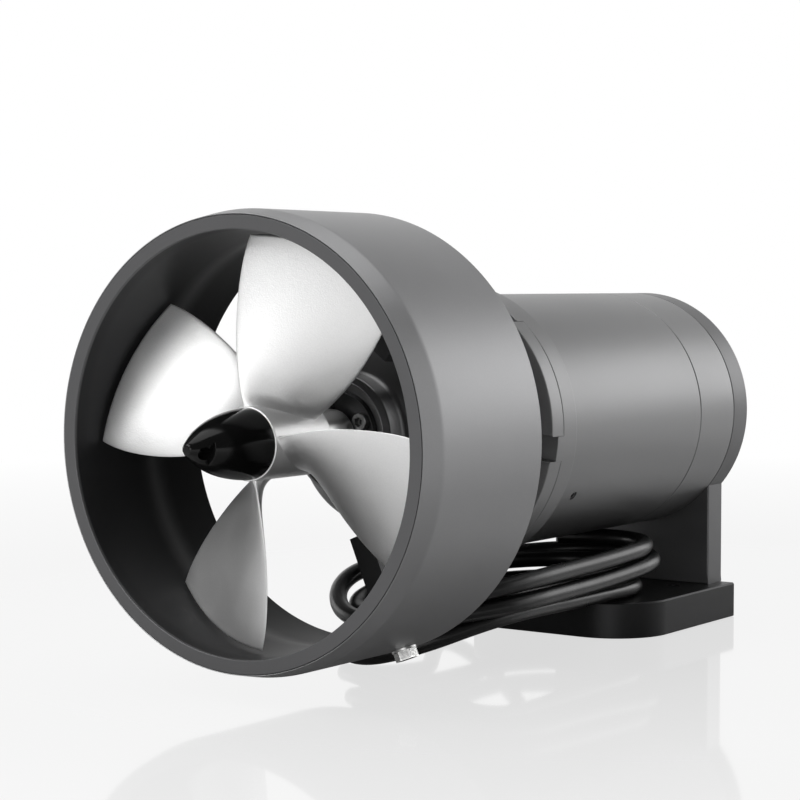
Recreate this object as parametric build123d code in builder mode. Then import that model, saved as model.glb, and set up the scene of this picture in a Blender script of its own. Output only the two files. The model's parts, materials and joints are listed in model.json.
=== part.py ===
from build123d import *
import math
import os

os.makedirs("parts", exist_ok=True)

# Sizes are in millimetres. A station is a distance to the rear of the duct's mouth plane, along the
# propeller's axis. An angle is measured about that axis from +X towards +Z.

# Fits
SLIP = 0.05
RUNNING = 0.1
AIR_GAP = 0.7
END_ROOM = 1
DRILL_ROOM = 2

# Duct
DUCT_RADIUS = 87.5
DUCT_LENGTH = 75.5
SHELL_WALL = 2.35
LIP_EDGE = 0.2
BEVEL_LENGTH = 10.1
MOUTH_WALL = 5.4
THROAT_WALL = 5.9
REAR_WALL = 3.8
THROAT_START = 6
THROAT_END = 40
FLARE_END = 50

# Propeller and spinner
BLADE_COUNT = 4
FIRST_BLADE_ANGLE = 70
TIP_GAP = 1.2
BLADE_PITCH = 156
BLADE_MIDDLE = 23.6
BLADE_EDGE = 0.9
HUB_FRONT = 8.5
HUB_LENGTH = 34.5
HUB_RADIUS = 14
SPINNER_RADIUS = 13.5
SPINNER_LENGTH = 34.5
SPINNER_HOLE_RADIUS = 2.5
SPINNER_HOLE_ANGLE = -20
SPINNER_HOLE_SETBACK = 5.2
SPINNER_FLAT_RADIUS = 5.2
SPINNER_FLAT_LENGTH = 7
SLEEVE_RADIUS = 10.5
SLEEVE_LENGTH = 19

# Shaft
STUB_RADIUS = 5
STUB_LENGTH = 12.5
SEAT_RADIUS = 5.5
SEAL_JOURNAL_RADIUS = 6
JOURNAL_RADIUS = 7.5
PIN_RADIUS = 1.5
PIN_LENGTH = 22
PIN_SETBACK = 5

# Nose of the front bell
NOSE_GAP = 3
NOSE_RADIUS = 24
NOSE_CHAMFER = 2.2
NOSE_LENGTH = 11
FLANK_LENGTH = 12
COVER_RADIUS = 17.3
COVER_ROOM = 0.6
COVER_THICKNESS = 5
MOAT_RADIUS = 21.3
MOAT_DEPTH = 2.6
COVER_SCREW_CIRCLE = 12.9
COVER_SCREW_ANGLE = 26
COVER_SCREW_SINK = 1.6
SEAL_RADIUS = 10
SEAL_WIDTH = 6
SEAL_GAP = 1
SEAL_CASE = 1.5
SEAL_LIP = 1
COVER_SCREWS = 4

# Bearings
BEARING_INSET = 2
BEARING_RADIUS = 17.5
BEARING_WIDTH = 11
BALL_RADIUS = 2.95
BALL_COUNT = 8
RACE_LAND = 2.7
RETAINER_THICKNESS = 3
RETAINER_RADIUS = 26
RETAINER_SCREW_CIRCLE = 21.7
RETAINER_SCREW_BITE = 6

# Rear of the front bell
BELL_RADIUS = 38.5
BELL_LENGTH = 41.6
BELL_BORE_RADIUS = 32
FLANGE_DROP = 0.1
FLANGE_THICKNESS = 8.8
NOTCH_COUNT = 6
NOTCH_ANGLE = -67
NOTCH_WIDTH = 10.4
NOTCH_FLOOR = 47
NOTCH_CORNER = 2
SPIGOT_LENGTH = 7.6
RING_GROOVE_INSET = 2
RING_GROOVE_WIDTH = 3
RING_GROOVE_DEPTH = 2.05
BELL_SCREW_INSET = 4.65
BELL_SCREW_SINK = 4.2
BELL_SCREW_BITE = 7

# Arms
ARM_ANGLES = (-67, 53, 173)
ARM_WIDTH = 9.5
ARM_SINK = 0.4
ARM_NECK = 30
ARM_TOE_RISE = 2.5
ARM_SHOULDER = 1
ARM_HOLLOW_DROP = 2
ARM_HOLLOW_SHIFT = 3
PAD_INSET = 2.5
PAD_LENGTH = 15
PAD_THICKNESS = 3
PAD_WIDTH = 26
PAD_SCREW_SPREAD = 9
PAD_SCREW_SHIFT = 1
ARM_SCREW_INSETS = (9, 24)
ARM_SCREW_SINK = 5
ARM_SCREW_BITE = 5
BOLT_INSET = 3.5
BOLT_GRIP = 20
WASHER_RADIUS = 5
WASHER_THICKNESS = 1
BOLT_HEAD_ACROSS = 8
BOLT_HEAD_HEIGHT = 3.5

# Motor housing
HOUSING_RADIUS = 55
HOUSING_BORE = 50
HOUSING_LENGTH = 128.7
COLLAR_RISE = 4.5
COLLAR_LENGTH = 10.4
LUG_LENGTH = 4.4
LUG_CLEARANCE = 0.1

# Motor
STATOR_SETBACK = 21.6
STATOR_LENGTH = 75
SLOT_COUNT = 12
SLOT_WIDTH = 7
SLOT_DEPTH = 12
SLOT_MOUTH_WIDTH = 2.4
TOOTH_TIP = 1.8
WINDING_OVERHANG = 9
WINDING_CLEARANCE = 0.1
MAGNET_RADIUS = 27.9
MAGNET_THICKNESS = 3.9
MAGNET_COUNT = 8
MAGNET_GAP = 2
ROTOR_INSET = 2
PIN_SCREW_ANGLE = -32.6
PIN_SCREW_STATION_IN = 29.6
PIN_SCREW_SINK = 0.6
PIN_SCREW_SOCKET = 2

# Rear end shield, preload washer and rear cap
CAP_BORE_DEPTH = 17.1
STEP = 1
SHIELD_THICKNESS = 7
SHIELD_BOSS = 24
SHIELD_NOSE = 3
SHAFT_TAIL = 1
WASHER_GAP = 2
SHIELD_BACK = 3
SHIELD_BORE_ROOM = 1.5
CAP_LENGTH = 33.2
CAP_GROOVE_INSET = 3
CAP_SKIRT = 6
CAP_FLOOR = 12.3
GLAND_ANGLE = -135
GLAND_INSET = 19.3

# Cable gland
GLAND_THREAD = 6
GLAND_ACROSS = 17
GLAND_FLANGE = 4.5
GLAND_NECK = 7
SPOTFACE_DEPTH = 1
NECK_LENGTH = 4
NECK_WALL = 1
NUT_TAPER = 12
SEAL_LENGTH = 7
SEAL_SQUEEZE = 0.5
NUT_NOSE = 6
CABLE_RADIUS = 3.75

# Bracket and foot
AXIS_HEIGHT = 98.5
BRACKET_THICKNESS = 14
BRACKET_WIDTH = 84
BRACKET_SCREWS = 4
BRACKET_SCREW_CIRCLE = 40
BRACKET_SCREW_ANGLE = 45
BRACKET_SCREW_SINK = 0.5
BRACKET_SCREW_BITE = 9
FOOT_THICKNESS = 16
FOOT_WIDTH = 98
FOOT_LENGTH = 96.3
FOOT_CORNER = 28
FOOT_HOLE_RADIUS = 3.3
FOOT_HOLES_ACROSS = 60
FOOT_HOLES_ALONG = 44
FOOT_SCREW_SPREAD = 28
FOOT_SCREW_BITE = 12
EDGE_BREAK = 0.6
SEAM_BREAK = 0.5

# Screw threads, by nominal diameter
M3 = 3
M4 = 4
M5 = 5
M6 = 6

# Cable
COIL_WIDTH = 84
COIL_LENGTH = 166
COIL_BAND = 24
COIL_TOP = 41
COIL_TOE = 34
COIL_REST = 0.9
FLOOR_GAP = 0.05
COIL_ROUND = 7
COIL_FRONT = -171
CABLE_ROUTE = [
    (-44.19, 14.85, 54.31),
    (-57.9, 14.85, 40.6),
    (-67.2, 7.0, 27.6),
    (-71.6, -7.6, 17.8),
    (-69.6, -25.6, 13.2),
    (-61.6, -43.4, 13.6),
    (-51.4, -60.4, 15.2),
    (-41.0, -77.2, 17.6),
]

# Stations and radii that follow from the sizes
HUB_REAR = HUB_FRONT + HUB_LENGTH
SLEEVE_REAR = HUB_REAR + SLEEVE_LENGTH
NOSE_FACE = SLEEVE_REAR + NOSE_GAP
COVER_REAR = NOSE_FACE + COVER_THICKNESS
SEALS_REAR = COVER_REAR + 2 * SEAL_WIDTH + SEAL_GAP
NOSE_REAR = NOSE_FACE + NOSE_LENGTH
FLANK_REAR = NOSE_REAR + FLANK_LENGTH
BEARING_FRONT = FLANK_REAR - BEARING_INSET
BEARING_REAR = BEARING_FRONT + BEARING_WIDTH
RETAINER_REAR = BEARING_REAR + RETAINER_THICKNESS
FLANGE_FRONT = FLANK_REAR + BELL_LENGTH
HOUSING_FRONT = FLANGE_FRONT + FLANGE_THICKNESS
SPIGOT_REAR = HOUSING_FRONT + SPIGOT_LENGTH
STATOR_FRONT = HOUSING_FRONT + STATOR_SETBACK
STATOR_REAR = STATOR_FRONT + STATOR_LENGTH
HOUSING_REAR = HOUSING_FRONT + HOUSING_LENGTH
SHIELD_FRONT = HOUSING_REAR - CAP_BORE_DEPTH
SHIELD_REAR = SHIELD_FRONT + SHIELD_THICKNESS
REAR_BEARING_FRONT = SHIELD_FRONT
REAR_BEARING_REAR = REAR_BEARING_FRONT + BEARING_WIDTH
SHAFT_REAR = REAR_BEARING_REAR + SHAFT_TAIL
POCKET_REAR = REAR_BEARING_REAR + WASHER_GAP
CAP_REAR = HOUSING_REAR + CAP_LENGTH
BRACKET_REAR = CAP_REAR + BRACKET_THICKNESS
PAD_REAR = DUCT_LENGTH - PAD_INSET
PAD_FRONT = PAD_REAR - PAD_LENGTH
LINER_REAR_RADIUS = DUCT_RADIUS - SHELL_WALL - REAR_WALL
PAD_RADIUS = LINER_REAR_RADIUS - SLIP
THROAT_RADIUS = DUCT_RADIUS - SHELL_WALL - THROAT_WALL
TIP_RADIUS = THROAT_RADIUS - TIP_GAP
COLLAR_RADIUS = HOUSING_RADIUS + COLLAR_RISE
FLANGE_RADIUS = COLLAR_RADIUS - FLANGE_DROP
BELL_SCREW_CIRCLE = FLANGE_RADIUS - BELL_SCREW_INSET
ORIGIN_STATION = BRACKET_REAR - FOOT_LENGTH / 2

# The axis frame looks forward, so its local x and y are the world's x and z and angles are as above.
AXIS_POINT = (0, -ORIGIN_STATION, AXIS_HEIGHT)
AXIS_FRAME = Plane(origin=AXIS_POINT, x_dir=(1, 0, 0), z_dir=(0, -1, 0))
HALF_SECTION = Plane(origin=AXIS_POINT, x_dir=(1, 0, 0), z_dir=(0, 0, 1))
SHAFT_LINE = Axis(AXIS_POINT, (0, -1, 0))


def station(distance):
    """The plane across the axis at a station, with its normal to the front."""
    return AXIS_FRAME.offset(-distance)


def radial(angle, distance, radius, outward=True):
    """A plane square to a radius of the axis, with its normal outward or to the axis."""
    turn = math.radians(angle)
    out = Vector(math.cos(turn), 0, math.sin(turn))
    origin = Vector(*AXIS_POINT) + out * radius + Vector(0, distance, 0)
    return Plane(origin=origin, x_dir=(0, 1, 0), z_dir=out if outward else -out)


def around(count, circle, angle, distance):
    """Planes on a circle about the axis, all with their normals to the front."""
    places = []
    for number in range(count):
        turn = math.radians(angle + 360 / count * number)
        spot = station(distance).from_local_coords((circle * math.cos(turn), circle * math.sin(turn), 0))
        places.append(Plane(origin=spot, x_dir=(1, 0, 0), z_dir=(0, -1, 0)))
    return places


def turned(*points):
    """A solid of revolution about the axis. Each point is a radius and a station."""
    with BuildPart() as body:
        with BuildSketch(HALF_SECTION):
            with BuildLine():
                Polyline(*points, close=True)
            make_face()
        revolve(axis=SHAFT_LINE)
    return body.part


def ring(inner, outer, front, rear):
    """A plain ring about the axis."""
    return turned((inner, front), (outer, front), (outer, rear), (inner, rear))


def drill(places, radius, depth):
    """Cuts a round hole of the given depth behind each place."""
    with Locations(*places):
        Cylinder(radius, depth, align=(Align.CENTER, Align.CENTER, Align.MAX), mode=Mode.SUBTRACT)


def head_radius(size):
    """The head of a cylinder-head screw is one and a half times its thread and a millimetre wide."""
    return 0.75 * size + 0.5


def cap_screw(size, length):
    """A cylinder-head screw with its head above the plane and a hexagon socket."""
    with BuildPart() as screw:
        Cylinder(size / 2, length, align=(Align.CENTER, Align.CENTER, Align.MAX))
        Cylinder(head_radius(size), size, align=(Align.CENTER, Align.CENTER, Align.MIN))
        with BuildSketch(Plane.XY.offset(size)):
            RegularPolygon(0.4 * size, 6, major_radius=False)
        extrude(amount=-0.55 * size, mode=Mode.SUBTRACT)
    return screw.part


def flat_screw(size, length, head):
    """A countersunk screw whose head lies flush with the plane."""
    with BuildPart() as screw:
        Cylinder(size / 2, length, align=(Align.CENTER, Align.CENTER, Align.MAX))
        with Locations((0, 0, -head / 2)):
            Cone(size / 2, size / 2 + head, head)
        with BuildSketch(Plane.XY):
            RegularPolygon(0.3 * size, 6, major_radius=False)
        extrude(amount=-0.45 * size, mode=Mode.SUBTRACT)
    return screw.part


# Duct
SEAM_RADIUS = DUCT_RADIUS - SHELL_WALL
PAD_SCREW_TURN = math.degrees(PAD_SCREW_SPREAD / PAD_RADIUS)
PAD_MIDDLE = (PAD_FRONT + PAD_REAR) / 2 + PAD_SCREW_SHIFT
PAD_FACE = PAD_RADIUS - PAD_THICKNESS
BOLT_STATION = PAD_FRONT + BOLT_INSET
BOLT_ANGLE = ARM_ANGLES[0]
pad_screw_angles = []
for arm_angle in ARM_ANGLES:
    pad_screw_angles += [arm_angle - PAD_SCREW_TURN, arm_angle + PAD_SCREW_TURN]


def pad_screw_places(radius):
    """The seats of the pads' screws at a radius, looking from the axis."""
    return [radial(angle, PAD_MIDDLE, radius, outward=False) for angle in pad_screw_angles]


bolt_place = radial(BOLT_ANGLE, BOLT_STATION, DUCT_RADIUS)
PAD_SCREW_LENGTH = SEAM_RADIUS - PAD_FACE - SLIP

with BuildPart() as duct_shell:
    add(turned(
        (SEAM_RADIUS, 0), (SEAM_RADIUS + LIP_EDGE, 0), (DUCT_RADIUS, BEVEL_LENGTH),
        (DUCT_RADIUS, DUCT_LENGTH), (SEAM_RADIUS, DUCT_LENGTH),
    ))
    drill([bolt_place], M5 / 2 + RUNNING, 2 * SHELL_WALL)
duct_shell.part.label = "duct_shell"
export_step(duct_shell.part, "parts/duct_shell.step")

with BuildPart() as duct_liner:
    add(turned(
        (SEAM_RADIUS - MOUTH_WALL, 0), (SEAM_RADIUS - SLIP, 0), (SEAM_RADIUS - SLIP, DUCT_LENGTH),
        (LINER_REAR_RADIUS, DUCT_LENGTH), (LINER_REAR_RADIUS, FLARE_END),
        (THROAT_RADIUS, THROAT_END), (THROAT_RADIUS, THROAT_START),
    ))
    drill([bolt_place], M5 / 2 + RUNNING, 3 * SHELL_WALL + REAR_WALL)
    drill(pad_screw_places(LINER_REAR_RADIUS - END_ROOM), M4 / 2 + SLIP, REAR_WALL + DRILL_ROOM)
duct_liner.part.label = "duct_liner"
export_step(duct_liner.part, "parts/duct_liner.step")

# Front bell and what is bolted to its nose
cover_screws = around(COVER_SCREWS, COVER_SCREW_CIRCLE, COVER_SCREW_ANGLE, NOSE_FACE + COVER_SCREW_SINK)
retainer_screw_places = around(
    COVER_SCREWS, RETAINER_SCREW_CIRCLE, COVER_SCREW_ANGLE + 180 / COVER_SCREWS, RETAINER_REAR
)
bell_screw_places = around(
    NOTCH_COUNT, BELL_SCREW_CIRCLE, NOTCH_ANGLE + 180 / NOTCH_COUNT, FLANGE_FRONT + BELL_SCREW_SINK
)
SPIGOT_RADIUS = HOUSING_BORE - RUNNING
GROOVE_FLOOR = SPIGOT_RADIUS - RING_GROOVE_DEPTH
GROOVE_REAR = SPIGOT_REAR - RING_GROOVE_INSET
arm_screw_stations = [FLANGE_FRONT - inset for inset in ARM_SCREW_INSETS]


def arm_screw_places(radius):
    """The seats of the arms' root screws at a radius."""
    places = []
    for angle in ARM_ANGLES:
        places += [radial(angle, distance, radius) for distance in arm_screw_stations]
    return places


with BuildPart() as front_bell:
    add(turned(
        (SEAL_RADIUS + SLIP, COVER_REAR), (COVER_RADIUS + SLIP, COVER_REAR),
        (COVER_RADIUS + SLIP, NOSE_FACE + MOAT_DEPTH), (MOAT_RADIUS, NOSE_FACE + MOAT_DEPTH),
        (MOAT_RADIUS, NOSE_FACE), (NOSE_RADIUS - NOSE_CHAMFER, NOSE_FACE),
        (NOSE_RADIUS, NOSE_FACE + NOSE_CHAMFER), (NOSE_RADIUS, NOSE_REAR),
        (BELL_RADIUS, FLANK_REAR), (BELL_RADIUS, FLANGE_FRONT), (FLANGE_RADIUS, FLANGE_FRONT),
        (FLANGE_RADIUS, HOUSING_FRONT), (SPIGOT_RADIUS, HOUSING_FRONT),
        (SPIGOT_RADIUS, GROOVE_REAR - RING_GROOVE_WIDTH), (GROOVE_FLOOR, GROOVE_REAR - RING_GROOVE_WIDTH),
        (GROOVE_FLOOR, GROOVE_REAR), (SPIGOT_RADIUS, GROOVE_REAR), (SPIGOT_RADIUS, SPIGOT_REAR),
        (BELL_BORE_RADIUS, SPIGOT_REAR), (BELL_BORE_RADIUS, RETAINER_REAR),
        (RETAINER_RADIUS + SLIP, RETAINER_REAR), (RETAINER_RADIUS + SLIP, BEARING_REAR),
        (BEARING_RADIUS + SLIP, BEARING_REAR), (BEARING_RADIUS + SLIP, BEARING_FRONT),
        (BEARING_RADIUS - RACE_LAND, BEARING_FRONT), (BEARING_RADIUS - RACE_LAND, SEALS_REAR + END_ROOM),
        (SEAL_RADIUS + SLIP, SEALS_REAR + END_ROOM),
    ))
    with BuildSketch(station(FLANGE_FRONT)):
        notch_reach = FLANGE_RADIUS - NOTCH_FLOOR + 2 * NOTCH_CORNER
        with PolarLocations(NOTCH_FLOOR + notch_reach / 2, NOTCH_COUNT, start_angle=NOTCH_ANGLE):
            RectangleRounded(notch_reach, NOTCH_WIDTH, NOTCH_CORNER)
    extrude(amount=-FLANGE_THICKNESS, mode=Mode.SUBTRACT)
    drill(bell_screw_places, M4 / 2 + SLIP, FLANGE_THICKNESS)
    bell_screw_seats = around(NOTCH_COUNT, BELL_SCREW_CIRCLE, NOTCH_ANGLE + 180 / NOTCH_COUNT, FLANGE_FRONT)
    drill(bell_screw_seats, head_radius(M4) + RUNNING, BELL_SCREW_SINK)
    cover_tap_places = around(COVER_SCREWS, COVER_SCREW_CIRCLE, COVER_SCREW_ANGLE, COVER_REAR)
    drill(cover_tap_places, M4 / 2 + SLIP, SEAL_WIDTH + DRILL_ROOM + END_ROOM)
    with Locations(*retainer_screw_places):
        Cylinder(
            M3 / 2 + SLIP, 2 * (RETAINER_THICKNESS + RETAINER_SCREW_BITE + END_ROOM), mode=Mode.SUBTRACT
        )
    drill(arm_screw_places(BELL_RADIUS), M4 / 2 + SLIP, ARM_SCREW_BITE + END_ROOM / 2)
front_bell.part.label = "front_bell"
export_step(front_bell.part, "parts/front_bell.step")

with BuildPart() as seal_cover:
    add(ring(SEAL_JOURNAL_RADIUS + COVER_ROOM, COVER_RADIUS, NOSE_FACE, COVER_REAR))
    cover_seat_places = around(COVER_SCREWS, COVER_SCREW_CIRCLE, COVER_SCREW_ANGLE, NOSE_FACE)
    drill(cover_seat_places, M4 / 2 + SLIP, COVER_THICKNESS)
    drill(
        around(4, COVER_SCREW_CIRCLE, COVER_SCREW_ANGLE, NOSE_FACE),
        head_radius(M4) + RUNNING, COVER_SCREW_SINK,
    )
seal_cover.part.label = "seal_cover"
export_step(seal_cover.part, "parts/seal_cover.step")

with BuildPart() as seal_cover_screws:
    with Locations(*cover_screws):
        add(cap_screw(M4, COVER_THICKNESS - COVER_SCREW_SINK + SEAL_WIDTH + DRILL_ROOM))
seal_cover_screws.part.label = "seal_cover_screws"
export_step(seal_cover_screws.part, "parts/seal_cover_screws.step")

with BuildPart() as shaft_seals:
    for number in range(2):
        seal_front = COVER_REAR + number * (SEAL_WIDTH + SEAL_GAP)
        add(turned(
            (SEAL_JOURNAL_RADIUS + SEAL_LIP, seal_front), (SEAL_RADIUS, seal_front),
            (SEAL_RADIUS, seal_front + SEAL_WIDTH), (SEAL_RADIUS - SEAL_CASE, seal_front + SEAL_WIDTH),
            (SEAL_RADIUS - SEAL_CASE, seal_front + SEAL_WIDTH / 3),
            (SEAL_JOURNAL_RADIUS + SEAL_LIP, seal_front + SEAL_WIDTH / 3),
            (SEAL_JOURNAL_RADIUS + 0.9, seal_front + 0.8 * SEAL_WIDTH),
            (SEAL_JOURNAL_RADIUS + SLIP, seal_front + 0.6 * SEAL_WIDTH),
        ))
shaft_seals.part.label = "shaft_seals"
export_step(shaft_seals.part, "parts/shaft_seals.step")

with BuildPart() as bearing_retainer:
    add(ring(BEARING_RADIUS - 2 * RACE_LAND, RETAINER_RADIUS, BEARING_REAR, RETAINER_REAR))
    with Locations(*retainer_screw_places):
        Cylinder(M3 / 2 + SLIP, 3 * RETAINER_THICKNESS, mode=Mode.SUBTRACT)
bearing_retainer.part.label = "bearing_retainer"
export_step(bearing_retainer.part, "parts/bearing_retainer.step")

with BuildPart() as retainer_screws:
    for place in retainer_screw_places:
        with Locations(Plane(origin=place.origin, x_dir=(1, 0, 0), z_dir=(0, 1, 0))):
            add(cap_screw(M3, RETAINER_THICKNESS + RETAINER_SCREW_BITE))
retainer_screws.part.label = "retainer_screws"
export_step(retainer_screws.part, "parts/retainer_screws.step")


def seal_ring(bore, floor, middle):
    """An O-ring that fills a groove between its floor and the bore around it."""
    section = (bore - floor) / 2 - SLIP
    with BuildPart() as body:
        with BuildSketch(HALF_SECTION):
            with Locations(((bore + floor) / 2, middle)):
                Circle(section)
        revolve(axis=SHAFT_LINE)
    return body.part


with BuildPart() as bell_seal_ring:
    add(seal_ring(HOUSING_BORE, GROOVE_FLOOR, GROOVE_REAR - RING_GROOVE_WIDTH / 2))
bell_seal_ring.part.label = "bell_seal_ring"
export_step(bell_seal_ring.part, "parts/bell_seal_ring.step")

with BuildPart() as bell_screws:
    with Locations(*bell_screw_places):
        add(cap_screw(M4, FLANGE_THICKNESS - BELL_SCREW_SINK + BELL_SCREW_BITE))
bell_screws.part.label = "bell_screws"
export_step(bell_screws.part, "parts/bell_screws.step")

# Arms. The outline is drawn in the arm's own plane through the axis, as radii and stations.
LUG_FRONT = HOUSING_FRONT - LUG_LENGTH
ARM_TOP = FLANGE_RADIUS - ARM_SINK
HEEL_STATION = PAD_REAR + ARM_SHOULDER
for number, arm_angle in enumerate(ARM_ANGLES):
    turn = math.radians(arm_angle)
    arm_plane = Plane(
        origin=AXIS_POINT,
        x_dir=(math.cos(turn), 0, math.sin(turn)),
        z_dir=(-math.sin(turn), 0, math.cos(turn)),
    )
    toe = (BELL_RADIUS + ARM_TOE_RISE, PAD_FRONT - ARM_SHOULDER)
    pad_join = PAD_RADIUS - PAD_THICKNESS / 2
    neck = (ARM_TOP, FLANGE_FRONT - ARM_NECK)
    heel = (pad_join, HEEL_STATION)
    hollow = (
        (neck[0] + heel[0]) / 2 - ARM_HOLLOW_DROP, (neck[1] + heel[1]) / 2 - ARM_HOLLOW_SHIFT
    )
    with BuildPart() as duct_arm:
        with BuildSketch(arm_plane):
            with BuildLine():
                ThreePointArc(neck, hollow, heel)
                Polyline(
                    heel, (pad_join, PAD_FRONT - ARM_SHOULDER), toe,
                    (BELL_RADIUS + LUG_CLEARANCE, FLANK_REAR),
                    (BELL_RADIUS + LUG_CLEARANCE, FLANGE_FRONT - LUG_CLEARANCE),
                    (NOTCH_FLOOR + NOTCH_CORNER, FLANGE_FRONT - LUG_CLEARANCE),
                    (NOTCH_FLOOR + NOTCH_CORNER, LUG_FRONT - LUG_CLEARANCE),
                    (ARM_TOP, LUG_FRONT - LUG_CLEARANCE),
                    neck,
                )
            make_face()
        extrude(amount=ARM_WIDTH / 2, both=True)
        with BuildSketch(station(PAD_FRONT)):
            Circle(PAD_RADIUS)
            Circle(PAD_FACE, mode=Mode.SUBTRACT)
            with PolarLocations(PAD_FACE, 1, start_angle=arm_angle):
                Rectangle(4 * PAD_THICKNESS, PAD_WIDTH, mode=Mode.INTERSECT)
        extrude(amount=-PAD_LENGTH)
        pad_screws = pad_screw_places(PAD_FACE)[2 * number:2 * number + 2]
        drill(pad_screws, M4 / 2 + SLIP, 2 * PAD_THICKNESS)
        with Locations(*pad_screws):
            with Locations((0, 0, -M4 / 4)):
                Cone(M4 / 2 + SLIP, M4 + SLIP, M4 / 2, mode=Mode.SUBTRACT)
        root_screws = arm_screw_places(ARM_TOP)[2 * number:2 * number + 2]
        drill(root_screws, M4 / 2 + SLIP, ARM_TOP - BELL_RADIUS)
        drill(root_screws, head_radius(M4) + RUNNING, ARM_SCREW_SINK)
        if arm_angle == BOLT_ANGLE:
            drill([bolt_place], M5 / 2 + RUNNING, DUCT_RADIUS - PAD_RADIUS + BOLT_GRIP)
    arm_name = f"duct_arm_{number + 1}"
    duct_arm.part.label = arm_name
    export_step(duct_arm.part, f"parts/{arm_name}.step")

with BuildPart() as arm_pad_screws:
    with Locations(*pad_screw_places(PAD_FACE)):
        add(flat_screw(M4, PAD_SCREW_LENGTH, M4 / 2))
arm_pad_screws.part.label = "arm_pad_screws"
export_step(arm_pad_screws.part, "parts/arm_pad_screws.step")

with BuildPart() as arm_root_screws:
    with Locations(*arm_screw_places(ARM_TOP - ARM_SCREW_SINK)):
        add(cap_screw(M4, ARM_TOP - ARM_SCREW_SINK - BELL_RADIUS + ARM_SCREW_BITE))
arm_root_screws.part.label = "arm_root_screws"
export_step(arm_root_screws.part, "parts/arm_root_screws.step")

with BuildPart() as duct_bolt_washer:
    with Locations(bolt_place):
        Cylinder(WASHER_RADIUS, WASHER_THICKNESS, align=(Align.CENTER, Align.CENTER, Align.MIN))
        Cylinder(M5 / 2 + RUNNING, 3 * WASHER_THICKNESS, mode=Mode.SUBTRACT)
duct_bolt_washer.part.label = "duct_bolt_washer"
export_step(duct_bolt_washer.part, "parts/duct_bolt_washer.step")

with BuildPart() as duct_bolt:
    with BuildSketch(bolt_place.offset(WASHER_THICKNESS)):
        RegularPolygon(BOLT_HEAD_ACROSS / 2, 6, major_radius=False)
    extrude(amount=BOLT_HEAD_HEIGHT)
    with BuildSketch(bolt_place.offset(WASHER_THICKNESS)):
        Circle(M5 / 2)
    extrude(amount=-(WASHER_THICKNESS + DUCT_RADIUS - PAD_RADIUS + BOLT_GRIP - 2))
duct_bolt.part.label = "duct_bolt"
export_step(duct_bolt.part, "parts/duct_bolt.step")

# Propeller. Each section lies in a plane square to the blade's middle radius, where a true helicoid
# of the blade's pitch is an arctangent curve.
HELIX_RISE = BLADE_PITCH / (2 * math.pi)
BLADE_ROOT = 0.8 * HUB_RADIUS
BLADE_REACH = TIP_RADIUS + END_ROOM
# Each section has its share of the way from the root to beyond the tip, half width and thickness.
BLADE_SECTIONS = [
    (0.0, 6.75, 5.2),
    (0.16, 13.6, 4.0),
    (0.34, 19.6, 3.4),
    (0.56, 25.2, 2.8),
    (0.78, 28.4, 2.3),
    (1.0, 29.2, 1.9),
]
SECTION_STEPS = 8


def blade_face(distance, half_width, thickness, side):
    """Points along one face of a section: the helicoid's line moved half the thickness sideways."""
    points = []
    for step in range(SECTION_STEPS + 1):
        share = 2 * step / SECTION_STEPS - 1
        across = share * half_width
        rise = HELIX_RISE * math.atan(across / distance) - BLADE_MIDDLE
        slope = HELIX_RISE * distance / (distance ** 2 + across ** 2)
        half = (BLADE_EDGE + (thickness - BLADE_EDGE) * (1 - share ** 2)) / 2 * side
        length = math.hypot(1, slope)
        points.append((across - half * slope / length, rise + half / length))
    return points


with BuildPart() as blade:
    for share, half_width, thickness in BLADE_SECTIONS:
        distance = BLADE_ROOT + share * (BLADE_REACH - BLADE_ROOT)
        upright = Plane(
            origin=(0, -ORIGIN_STATION, AXIS_HEIGHT + distance), x_dir=(-1, 0, 0), z_dir=(0, 0, 1)
        )
        front_face = blade_face(distance, half_width, thickness, 1)
        rear_face = blade_face(distance, half_width, thickness, -1)
        with BuildSketch(upright):
            with BuildLine():
                Spline(*front_face)
                Line(front_face[-1], rear_face[-1])
                Spline(*rear_face)
                Line(rear_face[0], front_face[0])
            make_face()
    loft()
    add(ring(0, TIP_RADIUS, -HUB_LENGTH, 3 * HUB_LENGTH), mode=Mode.INTERSECT)

PIN_STATION = HUB_REAR - PIN_SETBACK
PIN_ANGLE = FIRST_BLADE_ANGLE + 180 / BLADE_COUNT

with BuildPart() as propeller:
    add(ring(0, HUB_RADIUS, HUB_FRONT, HUB_REAR))
    for number in range(BLADE_COUNT):
        turn = FIRST_BLADE_ANGLE - 90 + 360 / BLADE_COUNT * number
        add(blade.part.rotate(SHAFT_LINE, turn))
    add(ring(0, SEAT_RADIUS + SLIP, HUB_FRONT, HUB_REAR), mode=Mode.SUBTRACT)
    with BuildSketch(station(HUB_REAR)):
        Rectangle(PIN_LENGTH + 2 * RUNNING, 2 * (PIN_RADIUS + SLIP), rotation=PIN_ANGLE)
    extrude(amount=PIN_SETBACK + PIN_RADIUS + SLIP, mode=Mode.SUBTRACT)
propeller.part.label = "propeller"
export_step(propeller.part, "parts/propeller.step")

with BuildPart() as drive_pin:
    with Locations(radial(PIN_ANGLE, PIN_STATION, 0)):
        Cylinder(PIN_RADIUS, PIN_LENGTH)
drive_pin.part.label = "drive_pin"
export_step(drive_pin.part, "parts/drive_pin.step")

# Spinner, which is the propeller's nut
SPINNER_TIP = HUB_FRONT - SPINNER_LENGTH
HOLE_STATION = SPINNER_TIP + SPINNER_HOLE_SETBACK

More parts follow.
